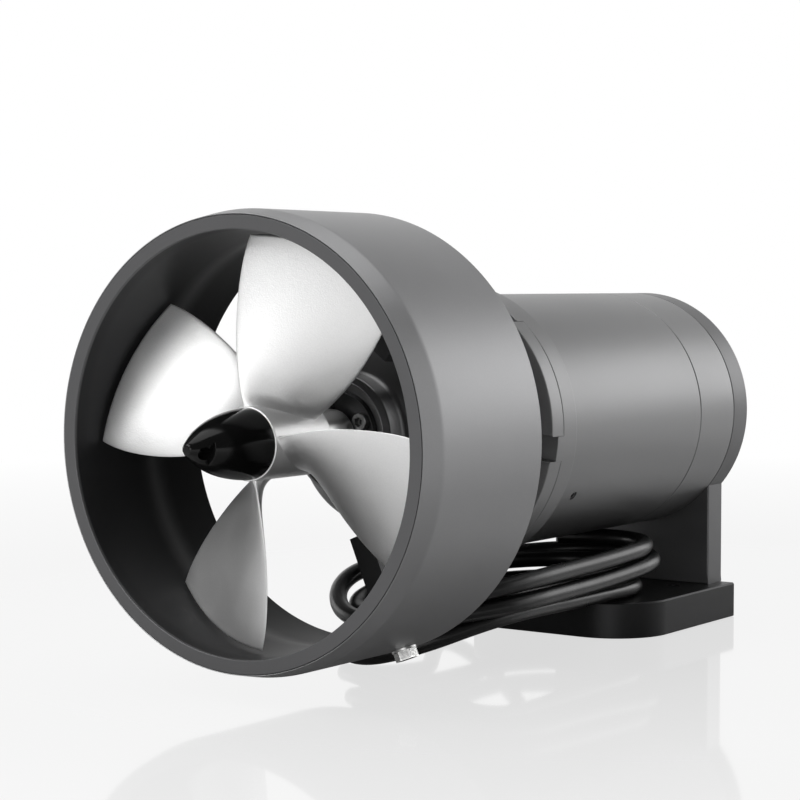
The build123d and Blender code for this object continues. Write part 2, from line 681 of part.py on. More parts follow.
with BuildPart() as spinner:
    with BuildSketch(HALF_SECTION):
        with BuildLine():
            Spline(
                (SPINNER_RADIUS, HUB_FRONT),
                (0.89 * SPINNER_RADIUS, HUB_FRONT - 0.36 * SPINNER_LENGTH),
                (0.62 * SPINNER_RADIUS, HUB_FRONT - 0.68 * SPINNER_LENGTH),
                (0.16 * SPINNER_RADIUS, HUB_FRONT - 0.985 * SPINNER_LENGTH),
            )
            Polyline(
                (0.16 * SPINNER_RADIUS, HUB_FRONT - 0.985 * SPINNER_LENGTH),
                (0, SPINNER_TIP), (0, HUB_FRONT), (SPINNER_RADIUS, HUB_FRONT),
            )
        make_face()
    revolve(axis=SHAFT_LINE)
    add(ring(0, STUB_RADIUS + SLIP, HUB_FRONT - STUB_LENGTH - END_ROOM, HUB_FRONT), mode=Mode.SUBTRACT)
    with Locations(radial(SPINNER_HOLE_ANGLE, HOLE_STATION, 0)):
        Cylinder(SPINNER_HOLE_RADIUS, 3 * SPINNER_RADIUS, mode=Mode.SUBTRACT)
    for side in (0, 180):
        flat = radial(SPINNER_HOLE_ANGLE + side, HOLE_STATION, SPINNER_FLAT_RADIUS)
        with Locations(flat):
            Box(
                SPINNER_FLAT_LENGTH, 2 * SPINNER_RADIUS, SPINNER_RADIUS,
                align=(Align.CENTER, Align.CENTER, Align.MIN), mode=Mode.SUBTRACT,
            )
spinner.part.label = "spinner"
export_step(spinner.part, "parts/spinner.step")

# Shaft and sleeve
with BuildPart() as shaft:
    add(turned(
        (0, HUB_FRONT - STUB_LENGTH), (STUB_RADIUS, HUB_FRONT - STUB_LENGTH), (STUB_RADIUS, HUB_FRONT),
        (SEAT_RADIUS, HUB_FRONT), (SEAT_RADIUS, SLEEVE_REAR), (SEAL_JOURNAL_RADIUS, SLEEVE_REAR),
        (SEAL_JOURNAL_RADIUS, BEARING_FRONT - 2), (JOURNAL_RADIUS, BEARING_FRONT - 2),
        (JOURNAL_RADIUS, SHAFT_REAR), (0, SHAFT_REAR),
    ))
    with Locations(radial(PIN_ANGLE, PIN_STATION, 0)):
        Cylinder(PIN_RADIUS + SLIP, PIN_LENGTH, mode=Mode.SUBTRACT)
shaft.part.label = "shaft"
export_step(shaft.part, "parts/shaft.step")

with BuildPart() as shaft_sleeve:
    add(ring(SEAT_RADIUS + SLIP, SLEEVE_RADIUS, HUB_REAR, SLEEVE_REAR))
shaft_sleeve.part.label = "shaft_sleeve"
export_step(shaft_sleeve.part, "parts/shaft_sleeve.step")

# Bearings
BALL_CIRCLE = (JOURNAL_RADIUS + BEARING_RADIUS) / 2


def race(inner, outer, front):
    """A bearing ring with the balls' groove cut in it."""
    with BuildPart() as body:
        with BuildSketch(HALF_SECTION):
            with Locations(((inner + outer) / 2, front + BEARING_WIDTH / 2)):
                Rectangle(outer - inner, BEARING_WIDTH)
            with Locations((BALL_CIRCLE, front + BEARING_WIDTH / 2)):
                Circle(BALL_RADIUS + RUNNING, mode=Mode.SUBTRACT)
        revolve(axis=SHAFT_LINE)
    return body.part


def ball_set(front):
    """The balls of one bearing, evenly spaced."""
    with BuildPart() as body:
        with Locations(*around(BALL_COUNT, BALL_CIRCLE, 0, front + BEARING_WIDTH / 2)):
            Sphere(BALL_RADIUS)
    return body.part


for bearing, bearing_front in (("front", BEARING_FRONT), ("rear", REAR_BEARING_FRONT)):
    inner_race = race(JOURNAL_RADIUS, JOURNAL_RADIUS + RACE_LAND, bearing_front)
    inner_race.label = f"{bearing}_bearing_inner"
    export_step(inner_race, f"parts/{bearing}_bearing_inner.step")
    outer_race = race(BEARING_RADIUS - RACE_LAND, BEARING_RADIUS, bearing_front)
    outer_race.label = f"{bearing}_bearing_outer"
    export_step(outer_race, f"parts/{bearing}_bearing_outer.step")
    balls = ball_set(bearing_front)
    balls.label = f"{bearing}_bearing_balls"
    export_step(balls, f"parts/{bearing}_bearing_balls.step")

# Rotor
MAGNET_INNER = MAGNET_RADIUS - MAGNET_THICKNESS
ROTOR_FRONT = STATOR_FRONT + ROTOR_INSET
ROTOR_LENGTH = STATOR_LENGTH - 2 * ROTOR_INSET

with BuildPart() as rotor_core:
    add(ring(JOURNAL_RADIUS + SLIP, MAGNET_INNER - SLIP, ROTOR_FRONT, ROTOR_FRONT + ROTOR_LENGTH))
rotor_core.part.label = "rotor_core"
export_step(rotor_core.part, "parts/rotor_core.step")

with BuildPart() as rotor_magnets:
    with BuildSketch(station(ROTOR_FRONT)):
        Circle(MAGNET_RADIUS)
        Circle(MAGNET_INNER, mode=Mode.SUBTRACT)
        with PolarLocations(MAGNET_RADIUS, MAGNET_COUNT):
            Rectangle(3 * MAGNET_THICKNESS, MAGNET_GAP, mode=Mode.SUBTRACT)
    extrude(amount=-ROTOR_LENGTH)
rotor_magnets.part.label = "rotor_magnets"
export_step(rotor_magnets.part, "parts/rotor_magnets.step")

# Stator
STATOR_BORE = MAGNET_RADIUS + AIR_GAP
SLOT_FLOOR = STATOR_BORE + TOOTH_TIP + SLOT_DEPTH
SLOT_MIDDLE = STATOR_BORE + TOOTH_TIP + SLOT_DEPTH / 2

with BuildPart() as stator_core:
    with BuildSketch(station(STATOR_FRONT)):
        Circle(HOUSING_BORE - SLIP)
        Circle(STATOR_BORE, mode=Mode.SUBTRACT)
        with PolarLocations(SLOT_MIDDLE, SLOT_COUNT):
            Rectangle(SLOT_DEPTH, SLOT_WIDTH, mode=Mode.SUBTRACT)
        with PolarLocations(STATOR_BORE + TOOTH_TIP, SLOT_COUNT):
            Rectangle(3 * TOOTH_TIP, SLOT_MOUTH_WIDTH, mode=Mode.SUBTRACT)
    extrude(amount=-STATOR_LENGTH)
stator_core.part.label = "stator_core"
export_step(stator_core.part, "parts/stator_core.step")

with BuildPart() as stator_windings:
    with BuildSketch(station(STATOR_FRONT)):
        with PolarLocations(SLOT_MIDDLE, SLOT_COUNT):
            Rectangle(SLOT_DEPTH - 2 * WINDING_CLEARANCE, SLOT_WIDTH - 2 * WINDING_CLEARANCE)
    extrude(amount=-STATOR_LENGTH)
    for winding_front in (STATOR_FRONT - WINDING_OVERHANG, STATOR_REAR):
        add(ring(
            STATOR_BORE + TOOTH_TIP + 1, SLOT_FLOOR - WINDING_CLEARANCE,
            winding_front, winding_front + WINDING_OVERHANG,
        ))
stator_windings.part.label = "stator_windings"
export_step(stator_windings.part, "parts/stator_windings.step")

# Motor housing
pin_screw_place = radial(PIN_SCREW_ANGLE, HOUSING_FRONT + PIN_SCREW_STATION_IN, HOUSING_RADIUS)
CAP_BORE = HOUSING_BORE + STEP
LUG_FLOOR = HOUSING_BORE + LUG_CLEARANCE

with BuildPart() as motor_housing:
    add(turned(
        (HOUSING_BORE, HOUSING_FRONT), (COLLAR_RADIUS, HOUSING_FRONT),
        (COLLAR_RADIUS, HOUSING_FRONT + COLLAR_LENGTH), (HOUSING_RADIUS, HOUSING_FRONT + COLLAR_LENGTH),
        (HOUSING_RADIUS, HOUSING_REAR - SEAM_BREAK), (HOUSING_RADIUS - SEAM_BREAK, HOUSING_REAR),
        (CAP_BORE, HOUSING_REAR), (CAP_BORE, SHIELD_FRONT),
        (HOUSING_BORE, SHIELD_FRONT),
    ))
    with BuildSketch(station(HOUSING_FRONT)):
        with PolarLocations((HOUSING_BORE + COLLAR_RADIUS) / 2, NOTCH_COUNT, start_angle=NOTCH_ANGLE):
            Rectangle(2 * (COLLAR_RADIUS - HOUSING_BORE), NOTCH_WIDTH - 2 * LUG_CLEARANCE)
        Circle(COLLAR_RADIUS, mode=Mode.INTERSECT)
        Circle(LUG_FLOOR, mode=Mode.SUBTRACT)
    extrude(amount=LUG_LENGTH)
    drill(
        around(NOTCH_COUNT, BELL_SCREW_CIRCLE, NOTCH_ANGLE + 180 / NOTCH_COUNT, HOUSING_FRONT),
        M4 / 2 + SLIP, BELL_SCREW_BITE + END_ROOM,
    )
    drill([pin_screw_place], M4 / 2 + SLIP, HOUSING_RADIUS - HOUSING_BORE + END_ROOM)
motor_housing.part.label = "motor_housing"
export_step(motor_housing.part, "parts/motor_housing.step")

with BuildPart() as stator_pin:
    with BuildSketch(pin_screw_place.offset(-PIN_SCREW_SINK)):
        Circle(M4 / 2)
    extrude(amount=-(HOUSING_RADIUS - HOUSING_BORE - PIN_SCREW_SINK))
    with BuildSketch(pin_screw_place.offset(-PIN_SCREW_SINK)):
        RegularPolygon(0.25 * M4, 6, major_radius=False)
    extrude(amount=-PIN_SCREW_SOCKET, mode=Mode.SUBTRACT)
stator_pin.part.label = "stator_pin"
export_step(stator_pin.part, "parts/stator_pin.step")

# Rear end shield with its bearing pocket, and the wave washer that loads the bearing
with BuildPart() as rear_end_shield:
    add(turned(
        (BEARING_RADIUS + SLIP, SHIELD_FRONT - SHIELD_NOSE), (SHIELD_BOSS, SHIELD_FRONT - SHIELD_NOSE),
        (SHIELD_BOSS, SHIELD_FRONT), (CAP_BORE - SLIP, SHIELD_FRONT), (CAP_BORE - SLIP, SHIELD_REAR),
        (SHIELD_BOSS, SHIELD_REAR), (SHIELD_BOSS, POCKET_REAR + SHIELD_BACK),
        (JOURNAL_RADIUS + SHIELD_BORE_ROOM, POCKET_REAR + SHIELD_BACK),
        (JOURNAL_RADIUS + SHIELD_BORE_ROOM, POCKET_REAR),
        (BEARING_RADIUS + SLIP, POCKET_REAR),
    ))
rear_end_shield.part.label = "rear_end_shield"
export_step(rear_end_shield.part, "parts/rear_end_shield.step")

with BuildPart() as preload_washer:
    add(ring(BEARING_RADIUS - 2 * RACE_LAND, BEARING_RADIUS - RUNNING, REAR_BEARING_REAR, POCKET_REAR))
preload_washer.part.label = "preload_washer"
export_step(preload_washer.part, "parts/preload_washer.step")

# Rear cap, which screws into the housing up to the end shield
CAP_SPIGOT = CAP_BORE - RUNNING
CAP_GROOVE_FLOOR = CAP_SPIGOT - RING_GROOVE_DEPTH
CAP_GROOVE_REAR = HOUSING_REAR - CAP_GROOVE_INSET
CAP_INNER = CAP_BORE - CAP_SKIRT
CAP_WALL = HOUSING_RADIUS - CAP_INNER
GLAND_STATION = CAP_REAR - GLAND_INSET
GLAND_SEAT = HOUSING_RADIUS - SPOTFACE_DEPTH


def bracket_screw_places(distance):
    """The bracket's screws at a station."""
    return around(BRACKET_SCREWS, BRACKET_SCREW_CIRCLE, BRACKET_SCREW_ANGLE, distance)


with BuildPart() as rear_cap:
    add(turned(
        (CAP_INNER, SHIELD_REAR), (CAP_SPIGOT, SHIELD_REAR),
        (CAP_SPIGOT, CAP_GROOVE_REAR - RING_GROOVE_WIDTH),
        (CAP_GROOVE_FLOOR, CAP_GROOVE_REAR - RING_GROOVE_WIDTH),
        (CAP_GROOVE_FLOOR, CAP_GROOVE_REAR), (CAP_SPIGOT, CAP_GROOVE_REAR), (CAP_SPIGOT, HOUSING_REAR),
        (HOUSING_RADIUS - SEAM_BREAK, HOUSING_REAR), (HOUSING_RADIUS, HOUSING_REAR + SEAM_BREAK),
        (HOUSING_RADIUS, CAP_REAR - SEAM_BREAK), (HOUSING_RADIUS - SEAM_BREAK, CAP_REAR), (0, CAP_REAR),
        (0, CAP_REAR - CAP_FLOOR), (CAP_INNER, CAP_REAR - CAP_FLOOR),
    ))
    with Locations(*bracket_screw_places(CAP_REAR)):
        Cylinder(M5 / 2 + SLIP, 2 * (BRACKET_SCREW_BITE + END_ROOM), mode=Mode.SUBTRACT)
    gland_bore_place = radial(GLAND_ANGLE, GLAND_STATION, HOUSING_RADIUS + END_ROOM)
    drill([gland_bore_place], GLAND_THREAD + SLIP, CAP_WALL + DRILL_ROOM)
    with BuildSketch(radial(GLAND_ANGLE, GLAND_STATION, GLAND_SEAT)):
        Circle(0.6 * GLAND_ACROSS)
    extrude(amount=2 * SPOTFACE_DEPTH, mode=Mode.SUBTRACT)
rear_cap.part.label = "rear_cap"
export_step(rear_cap.part, "parts/rear_cap.step")

with BuildPart() as cap_seal_ring:
    add(seal_ring(CAP_BORE, CAP_GROOVE_FLOOR, CAP_GROOVE_REAR - RING_GROOVE_WIDTH / 2))
cap_seal_ring.part.label = "cap_seal_ring"
export_step(cap_seal_ring.part, "parts/cap_seal_ring.step")

# Cable gland
gland_seat = radial(GLAND_ANGLE, GLAND_STATION, GLAND_SEAT)
SEAL_TOP = GLAND_FLANGE + NECK_LENGTH
gland_top = gland_seat.offset(SEAL_TOP)

with BuildPart() as gland_body:
    with BuildSketch(gland_seat):
        RegularPolygon(GLAND_ACROSS / 2, 6, major_radius=False)
    extrude(amount=GLAND_FLANGE)
    with BuildSketch(gland_seat.offset(GLAND_FLANGE)):
        Circle(GLAND_NECK)
    extrude(amount=NECK_LENGTH)
    with BuildSketch(gland_seat):
        Circle(GLAND_THREAD)
    extrude(amount=-(GLAND_SEAT - CAP_INNER))
    with BuildSketch(gland_seat.offset(-2 * CAP_WALL)):
        Circle(CABLE_RADIUS + RUNNING)
    extrude(amount=4 * CAP_WALL, mode=Mode.SUBTRACT)
    with BuildSketch(gland_top):
        Circle(GLAND_NECK - NECK_WALL)
    extrude(amount=-SEAL_LENGTH, mode=Mode.SUBTRACT)
gland_body.part.label = "gland_body"
export_step(gland_body.part, "parts/gland_body.step")

with BuildPart() as gland_seal:
    with BuildSketch(gland_top):
        Circle(GLAND_NECK - NECK_WALL - SLIP)
        Circle(CABLE_RADIUS - SEAL_SQUEEZE, mode=Mode.SUBTRACT)
    extrude(amount=-SEAL_LENGTH)
gland_seal.part.label = "gland_seal"
export_step(gland_seal.part, "parts/gland_seal.step")

with BuildPart() as gland_nut:
    with BuildSketch(gland_seat.offset(GLAND_FLANGE + RUNNING)):
        RegularPolygon(GLAND_ACROSS / 2, 6, major_radius=False)
    extrude(amount=NECK_LENGTH)
    with BuildSketch(gland_top.offset(RUNNING)):
        Circle(GLAND_ACROSS / 2)
    extrude(amount=NUT_NOSE, taper=NUT_TAPER)
    with BuildSketch(gland_seat.offset(GLAND_FLANGE + RUNNING)):
        Circle(GLAND_NECK + SLIP)
    extrude(amount=NECK_LENGTH, mode=Mode.SUBTRACT)
    with BuildSketch(gland_top):
        Circle(CABLE_RADIUS + RUNNING)
    extrude(amount=2 * NUT_NOSE, mode=Mode.SUBTRACT)
gland_nut.part.label = "gland_nut"
export_step(gland_nut.part, "parts/gland_nut.step")

# Bracket and foot
LEG_HEIGHT = AXIS_HEIGHT - FOOT_THICKNESS
FOOT_SCREW_LINE = (FOOT_LENGTH - BRACKET_THICKNESS) / 2
foot_screw_spots = [(FOOT_SCREW_SPREAD * side, FOOT_SCREW_LINE) for side in (-1, 0, 1)]
FOOT_SCREW_SINK = M6 + 0.5


def foot_screw_places(height):
    """The seats of the foot's screws at a height, seen from below."""
    return [Plane(origin=(x, y, height), x_dir=(1, 0, 0), z_dir=(0, 0, -1)) for x, y in foot_screw_spots]


with BuildPart() as bracket:
    with BuildSketch(station(CAP_REAR)):
        Circle(HOUSING_RADIUS)
        with Locations((0, -LEG_HEIGHT / 2)):
            Rectangle(BRACKET_WIDTH, LEG_HEIGHT)
    extrude(amount=-BRACKET_THICKNESS)
    drill(bracket_screw_places(CAP_REAR), M5 / 2 + RUNNING, BRACKET_THICKNESS)
    with Locations(*bracket_screw_places(BRACKET_REAR)):
        Cylinder(head_radius(M5) + RUNNING, 2 * (M5 + BRACKET_SCREW_SINK), mode=Mode.SUBTRACT)
    drill(foot_screw_places(FOOT_THICKNESS), M6 / 2 + SLIP, FOOT_SCREW_BITE + DRILL_ROOM)
bracket.part.label = "bracket"
export_step(bracket.part, "parts/bracket.step")

with BuildPart() as bracket_screws:
    for place in bracket_screw_places(BRACKET_REAR - M5 - BRACKET_SCREW_SINK):
        with Locations(Plane(origin=place.origin, x_dir=(1, 0, 0), z_dir=(0, 1, 0))):
            add(cap_screw(M5, BRACKET_THICKNESS - M5 - BRACKET_SCREW_SINK + BRACKET_SCREW_BITE))
bracket_screws.part.label = "bracket_screws"
export_step(bracket_screws.part, "parts/bracket_screws.step")

with BuildPart() as foot:
    with BuildSketch():
        Rectangle(FOOT_WIDTH, FOOT_LENGTH)
    extrude(amount=FOOT_THICKNESS)
    front_corners = foot.edges().filter_by(Axis.Z).group_by(Axis.Y)[0]
    fillet(front_corners, FOOT_CORNER)
    chamfer(foot.faces().sort_by(Axis.Z)[-1].edges(), EDGE_BREAK)
    with GridLocations(FOOT_HOLES_ACROSS, FOOT_HOLES_ALONG, 2, 2):
        Cylinder(FOOT_HOLE_RADIUS, 3 * FOOT_THICKNESS, mode=Mode.SUBTRACT)
    drill(foot_screw_places(0), M6 / 2 + RUNNING, FOOT_THICKNESS)
    drill(foot_screw_places(0), head_radius(M6) + RUNNING, FOOT_SCREW_SINK)
foot.part.label = "foot"
export_step(foot.part, "parts/foot.step")

with BuildPart() as foot_screws:
    with Locations(*foot_screw_places(FOOT_SCREW_SINK)):
        add(cap_screw(M6, FOOT_THICKNESS - FOOT_SCREW_SINK + FOOT_SCREW_BITE))
foot_screws.part.label = "foot_screws"
export_step(foot_screws.part, "parts/foot_screws.step")

# Cable and coil. The coil's front end lies on the floor, its underside climbs onto the foot, its top is level.
FOOT_EDGE = -FOOT_LENGTH / 2
COIL_BEYOND = COIL_FRONT + COIL_LENGTH + COIL_BAND

with BuildPart() as cable_coil:
    with BuildSketch():
        with Locations((0, COIL_FRONT + COIL_LENGTH / 2)):
            SlotOverall(COIL_LENGTH, COIL_WIDTH, rotation=90)
            SlotOverall(
                COIL_LENGTH - 2 * COIL_BAND, COIL_WIDTH - 2 * COIL_BAND, rotation=90, mode=Mode.SUBTRACT
            )
    extrude(amount=COIL_TOP)
    with BuildSketch(Plane.YZ):
        Polygon(
            (COIL_FRONT - COIL_BAND, 0),
            (COIL_FRONT - COIL_BAND, FLOOR_GAP),
            (COIL_FRONT + COIL_TOE, FLOOR_GAP),
            (FOOT_EDGE, FOOT_THICKNESS + COIL_REST),
            (COIL_BEYOND, FOOT_THICKNESS + COIL_REST),
            (COIL_BEYOND, 0),
            align=None,
        )
    extrude(amount=COIL_WIDTH, both=True, mode=Mode.SUBTRACT)
    fillet(cable_coil.faces().sort_by(Axis.Z)[-1].edges(), COIL_ROUND)
cable_coil.part.label = "cable_coil"
export_step(cable_coil.part, "parts/cable_coil.step")


def route_radii(points):
    """The largest tangent arc at each corner of a route that leaves a tenth of each run straight."""
    radii = []
    corners = [Vector(*point) for point in points]
    for before, corner, after in zip(corners, corners[1:], corners[2:]):
        arriving = corner - before
        leaving = after - corner
        turn = math.radians(arriving.get_angle(leaving))
        radii.append(0.45 * min(arriving.length, leaving.length) / math.tan(turn / 2))
    return radii


cable_radii = route_radii(CABLE_ROUTE)
print("cable radii", [round(radius, 1) for radius in cable_radii])

with BuildPart() as cable:
    with BuildLine():
        cable_path = FilletPolyline(*CABLE_ROUTE, radius=cable_radii)
    with BuildSketch(Plane(origin=cable_path @ 0, z_dir=cable_path % 0)):
        Circle(CABLE_RADIUS)
    sweep()
cable_volume = cable_path.length * math.pi * CABLE_RADIUS ** 2
print("cable volume", round(cable.part.volume), "of", round(cable_volume))
cable.part.label = "cable"
export_step(cable.part, "parts/cable.step")
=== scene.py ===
import json
import math

import bmesh
import bpy
import numpy as np
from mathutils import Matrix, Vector


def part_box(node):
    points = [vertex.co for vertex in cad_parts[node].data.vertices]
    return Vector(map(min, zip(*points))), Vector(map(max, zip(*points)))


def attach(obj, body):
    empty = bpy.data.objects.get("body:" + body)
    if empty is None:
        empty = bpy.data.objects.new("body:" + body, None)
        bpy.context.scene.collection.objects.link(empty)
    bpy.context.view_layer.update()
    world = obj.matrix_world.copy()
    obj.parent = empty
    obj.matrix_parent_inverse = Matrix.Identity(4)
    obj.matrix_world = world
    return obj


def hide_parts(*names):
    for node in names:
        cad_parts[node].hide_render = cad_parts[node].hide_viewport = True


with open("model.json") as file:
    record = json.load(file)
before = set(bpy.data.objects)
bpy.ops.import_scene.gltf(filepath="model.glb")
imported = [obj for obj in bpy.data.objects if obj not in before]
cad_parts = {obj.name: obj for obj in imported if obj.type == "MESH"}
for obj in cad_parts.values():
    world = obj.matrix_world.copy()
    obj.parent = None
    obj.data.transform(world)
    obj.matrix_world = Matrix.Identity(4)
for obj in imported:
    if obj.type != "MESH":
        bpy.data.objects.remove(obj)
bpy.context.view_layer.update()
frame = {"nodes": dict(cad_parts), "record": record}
scene = bpy.context.scene
scene.view_settings.view_transform = "Standard"

# The camera stands low at the front right of the thruster, as far off as a product photographer
# stands with a short telephoto lens. Its place is measured from the mouth of the duct.
MOUTH_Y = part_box("duct_shell")[0].y
AXIS_Z = (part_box("duct_liner")[0].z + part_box("duct_liner")[1].z) / 2
CAMERA_FROM_MOUTH = Vector((0.51007, -0.61572, 0.05975))
CAMERA_YAW = math.radians(35.2)
CAMERA_DIP = math.radians(3.087)
camera_data = bpy.data.cameras.new("studio_camera")
camera_data.lens = 97.5
camera_data.sensor_width = 36
camera = bpy.data.objects.new("studio_camera", camera_data)
camera.location = Vector((0, MOUTH_Y, AXIS_Z)) + CAMERA_FROM_MOUTH
camera.rotation_euler = (math.pi / 2 - CAMERA_DIP, 0, CAMERA_YAW)
scene.collection.objects.link(camera)
scene.camera = camera

# The lead is a round black rubber-jacketed cable. It leaves the gland on the rear cap, comes down
# beside the foot and goes into a neat coil of nearly four turns. The coil lies on the foot and leans
# out over its front edge, and its lowest turn dips to the floor there. The end is cut bare.
CABLE_RADIUS = 0.00375
LEAD_POINTS = np.array([
    (-0.04419, 0.01485, 0.05431),
    (-0.0579, 0.01485, 0.0406),
    (-0.0672, 0.0070, 0.0276),
    (-0.0716, -0.0076, 0.0178),
    (-0.0696, -0.0256, 0.0132),
    (-0.0616, -0.0434, 0.0136),
    (-0.0514, -0.0604, 0.0152),
    (-0.0420, -0.0772, 0.0164),
])
COIL_MIDDLE_Y = -0.081
COIL_RADIUS = 0.03825
COIL_STRAIGHT = 0.048
COIL_SKEW = 0.003
SKEW_DIRECTION = (0.817, 0.576)
COIL_LEAN = 0.15
COIL_START = 0.045
POINTS_PER_TURN = 28
STRAND_PITCH = 0.0078
EVENING_WEIGHTS = [0.25, 0.5, 0.25]
# Turns run from the left side to the front, right, rear and left again: (turns, strands in from the
# outermost, height of the strand's middle).
COIL_COURSE = np.array([
    (0.00, 0, 0.0165), (0.05, 0, 0.0140), (0.09, 0.1, 0.0110), (0.12, 0.25, 0.0088),
    (0.15, 0.4, 0.0063), (0.18, 0.5, 0.0026), (0.21, 0.5, 0.0022), (0.25, 0.35, 0.0068),
    (0.29, 0.5, 0.0120), (0.32, 0.9, 0.0170), (0.35, 1, 0.0198), (0.383, 1, 0.0213),
    (0.50, 1, 0.0205), (0.60, 1, 0.0200), (0.95, 1, 0.0199),
    (1.00, 0.9, 0.0199), (1.05, 0.75, 0.0198), (1.09, 0.6, 0.0188), (1.12, 0.6, 0.0183),
    (1.15, 0.7, 0.0167), (1.19, 0.9, 0.0136), (1.21, 1, 0.0133), (1.25, 1, 0.0152),
    (1.29, 0.7, 0.0211), (1.32, 0.3, 0.0239), (1.35, 0, 0.0260), (1.393, 0, 0.0271),
    (1.494, 0, 0.0277), (1.55, 0, 0.0287), (1.608, 0, 0.0302), (1.656, 0, 0.0320),
    (1.70, 0, 0.0335), (1.75, 0, 0.0335), (1.85, 0, 0.0310),
    (2.00, 0, 0.0276), (2.05, 0.3, 0.0266), (2.09, 0.7, 0.0262), (2.12, 1, 0.0256),
    (2.15, 1, 0.0240), (2.18, 1, 0.0216), (2.21, 1, 0.0196), (2.25, 1, 0.0225),
    (2.29, 1, 0.0282), (2.32, 1, 0.0296), (2.36, 1, 0.0292), (2.50, 1, 0.0285),
    (2.60, 1, 0.0280), (2.75, 1, 0.0288), (2.90, 1.1, 0.0286),
    (3.00, 1.05, 0.0316), (3.05, 0.6, 0.0349), (3.09, 0.15, 0.0368), (3.12, 0, 0.0352),
    (3.15, 0, 0.0302), (3.19, 0, 0.0202), (3.21, 0, 0.0172), (3.25, -0.08, 0.0204),
    (3.29, -0.12, 0.0276), (3.32, -0.05, 0.0318), (3.36, 0, 0.0350), (3.444, 0, 0.0362),
    (3.526, 0, 0.0370), (3.60, 0.05, 0.0384), (3.64, 0.3, 0.0391), (3.70, 0.85, 0.0396),
    (3.75, 1, 0.0396), (3.80, 1, 0.0394),
])


def coil_points():
    """Turns of the coil about an oval of two half circles of radius R and straights between them.
    A point's way round gives the part of each half circle it has passed. It stands out by
    R - inset * pitch, and by skew * (n . e)^2 more towards the front left and the rear right. Last, y
    grows by lean * x. The course's inset and height are evened over three points."""
    turn = np.arange(COIL_START, COIL_COURSE[-1, 0], 1 / POINTS_PER_TURN)
    half_circle = math.pi * COIL_RADIUS
    way = (turn % 1) * (4 * COIL_STRAIGHT + 2 * half_circle)
    front_end = COIL_STRAIGHT + half_circle
    rear_end = 3 * COIL_STRAIGHT + 2 * half_circle
    passed = (
        np.clip(way - COIL_STRAIGHT, 0, half_circle)
        + np.clip(way - rear_end + half_circle, 0, half_circle)
    )
    facing = np.stack([-np.cos(passed / COIL_RADIUS), -np.sin(passed / COIL_RADIUS)], -1)
    straight = (
        np.clip(way - front_end, 0, 2 * COIL_STRAIGHT) - np.minimum(way, COIL_STRAIGHT)
        - np.maximum(way - rear_end, 0)
    )
    course = [np.interp(turn, COIL_COURSE[:, 0], COIL_COURSE[:, column]) for column in (1, 2)]
    inset, height = (np.convolve(np.pad(line, 1, "edge"), EVENING_WEIGHTS, "valid") for line in course)
    out = COIL_RADIUS - STRAND_PITCH * inset + COIL_SKEW * (facing @ SKEW_DIRECTION) ** 2
    x = facing[:, 0] * out
    return np.c_[x, facing[:, 1] * out + straight + COIL_MIDDLE_Y + COIL_LEAN * x, height]


cable_points = np.concatenate([LEAD_POINTS, coil_points()])
cable_curve = bpy.data.curves.new("cable_lead", "CURVE")
cable_curve.dimensions = "3D"
# A curve's bounds grow by its points' radius, so that radius is the real one and the bevel scales by 1.
cable_curve.bevel_depth = 1.0
cable_curve.bevel_resolution = 8
cable_curve.use_fill_caps = True
cable_curve.resolution_u = 10
cable_spline = cable_curve.splines.new("NURBS")
cable_spline.points.add(len(cable_points) - 1)
cable_spline.points.foreach_set("co", np.c_[cable_points, np.ones(len(cable_points))].ravel())
cable_spline.points.foreach_set("radius", np.full(len(cable_points), CABLE_RADIUS))
cable_spline.order_u = 3
cable_spline.use_endpoint_u = True
cable = bpy.data.objects.new("cable_lead", cable_curve)
scene.collection.objects.link(cable)
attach(cable, "thruster")
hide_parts("cable", "cable_coil")


class Value:
    """A shader output that can be added and multiplied: each operator adds one Math node."""

    def __init__(self, finish, socket):
        self.finish = finish
        self.socket = socket

    def __add__(self, other):
        return self.finish.node("ShaderNodeMath", {"operation": "ADD"}, self, other)

    def __mul__(self, other):
        return self.finish.node("ShaderNodeMath", {"operation": "MULTIPLY"}, self, other)


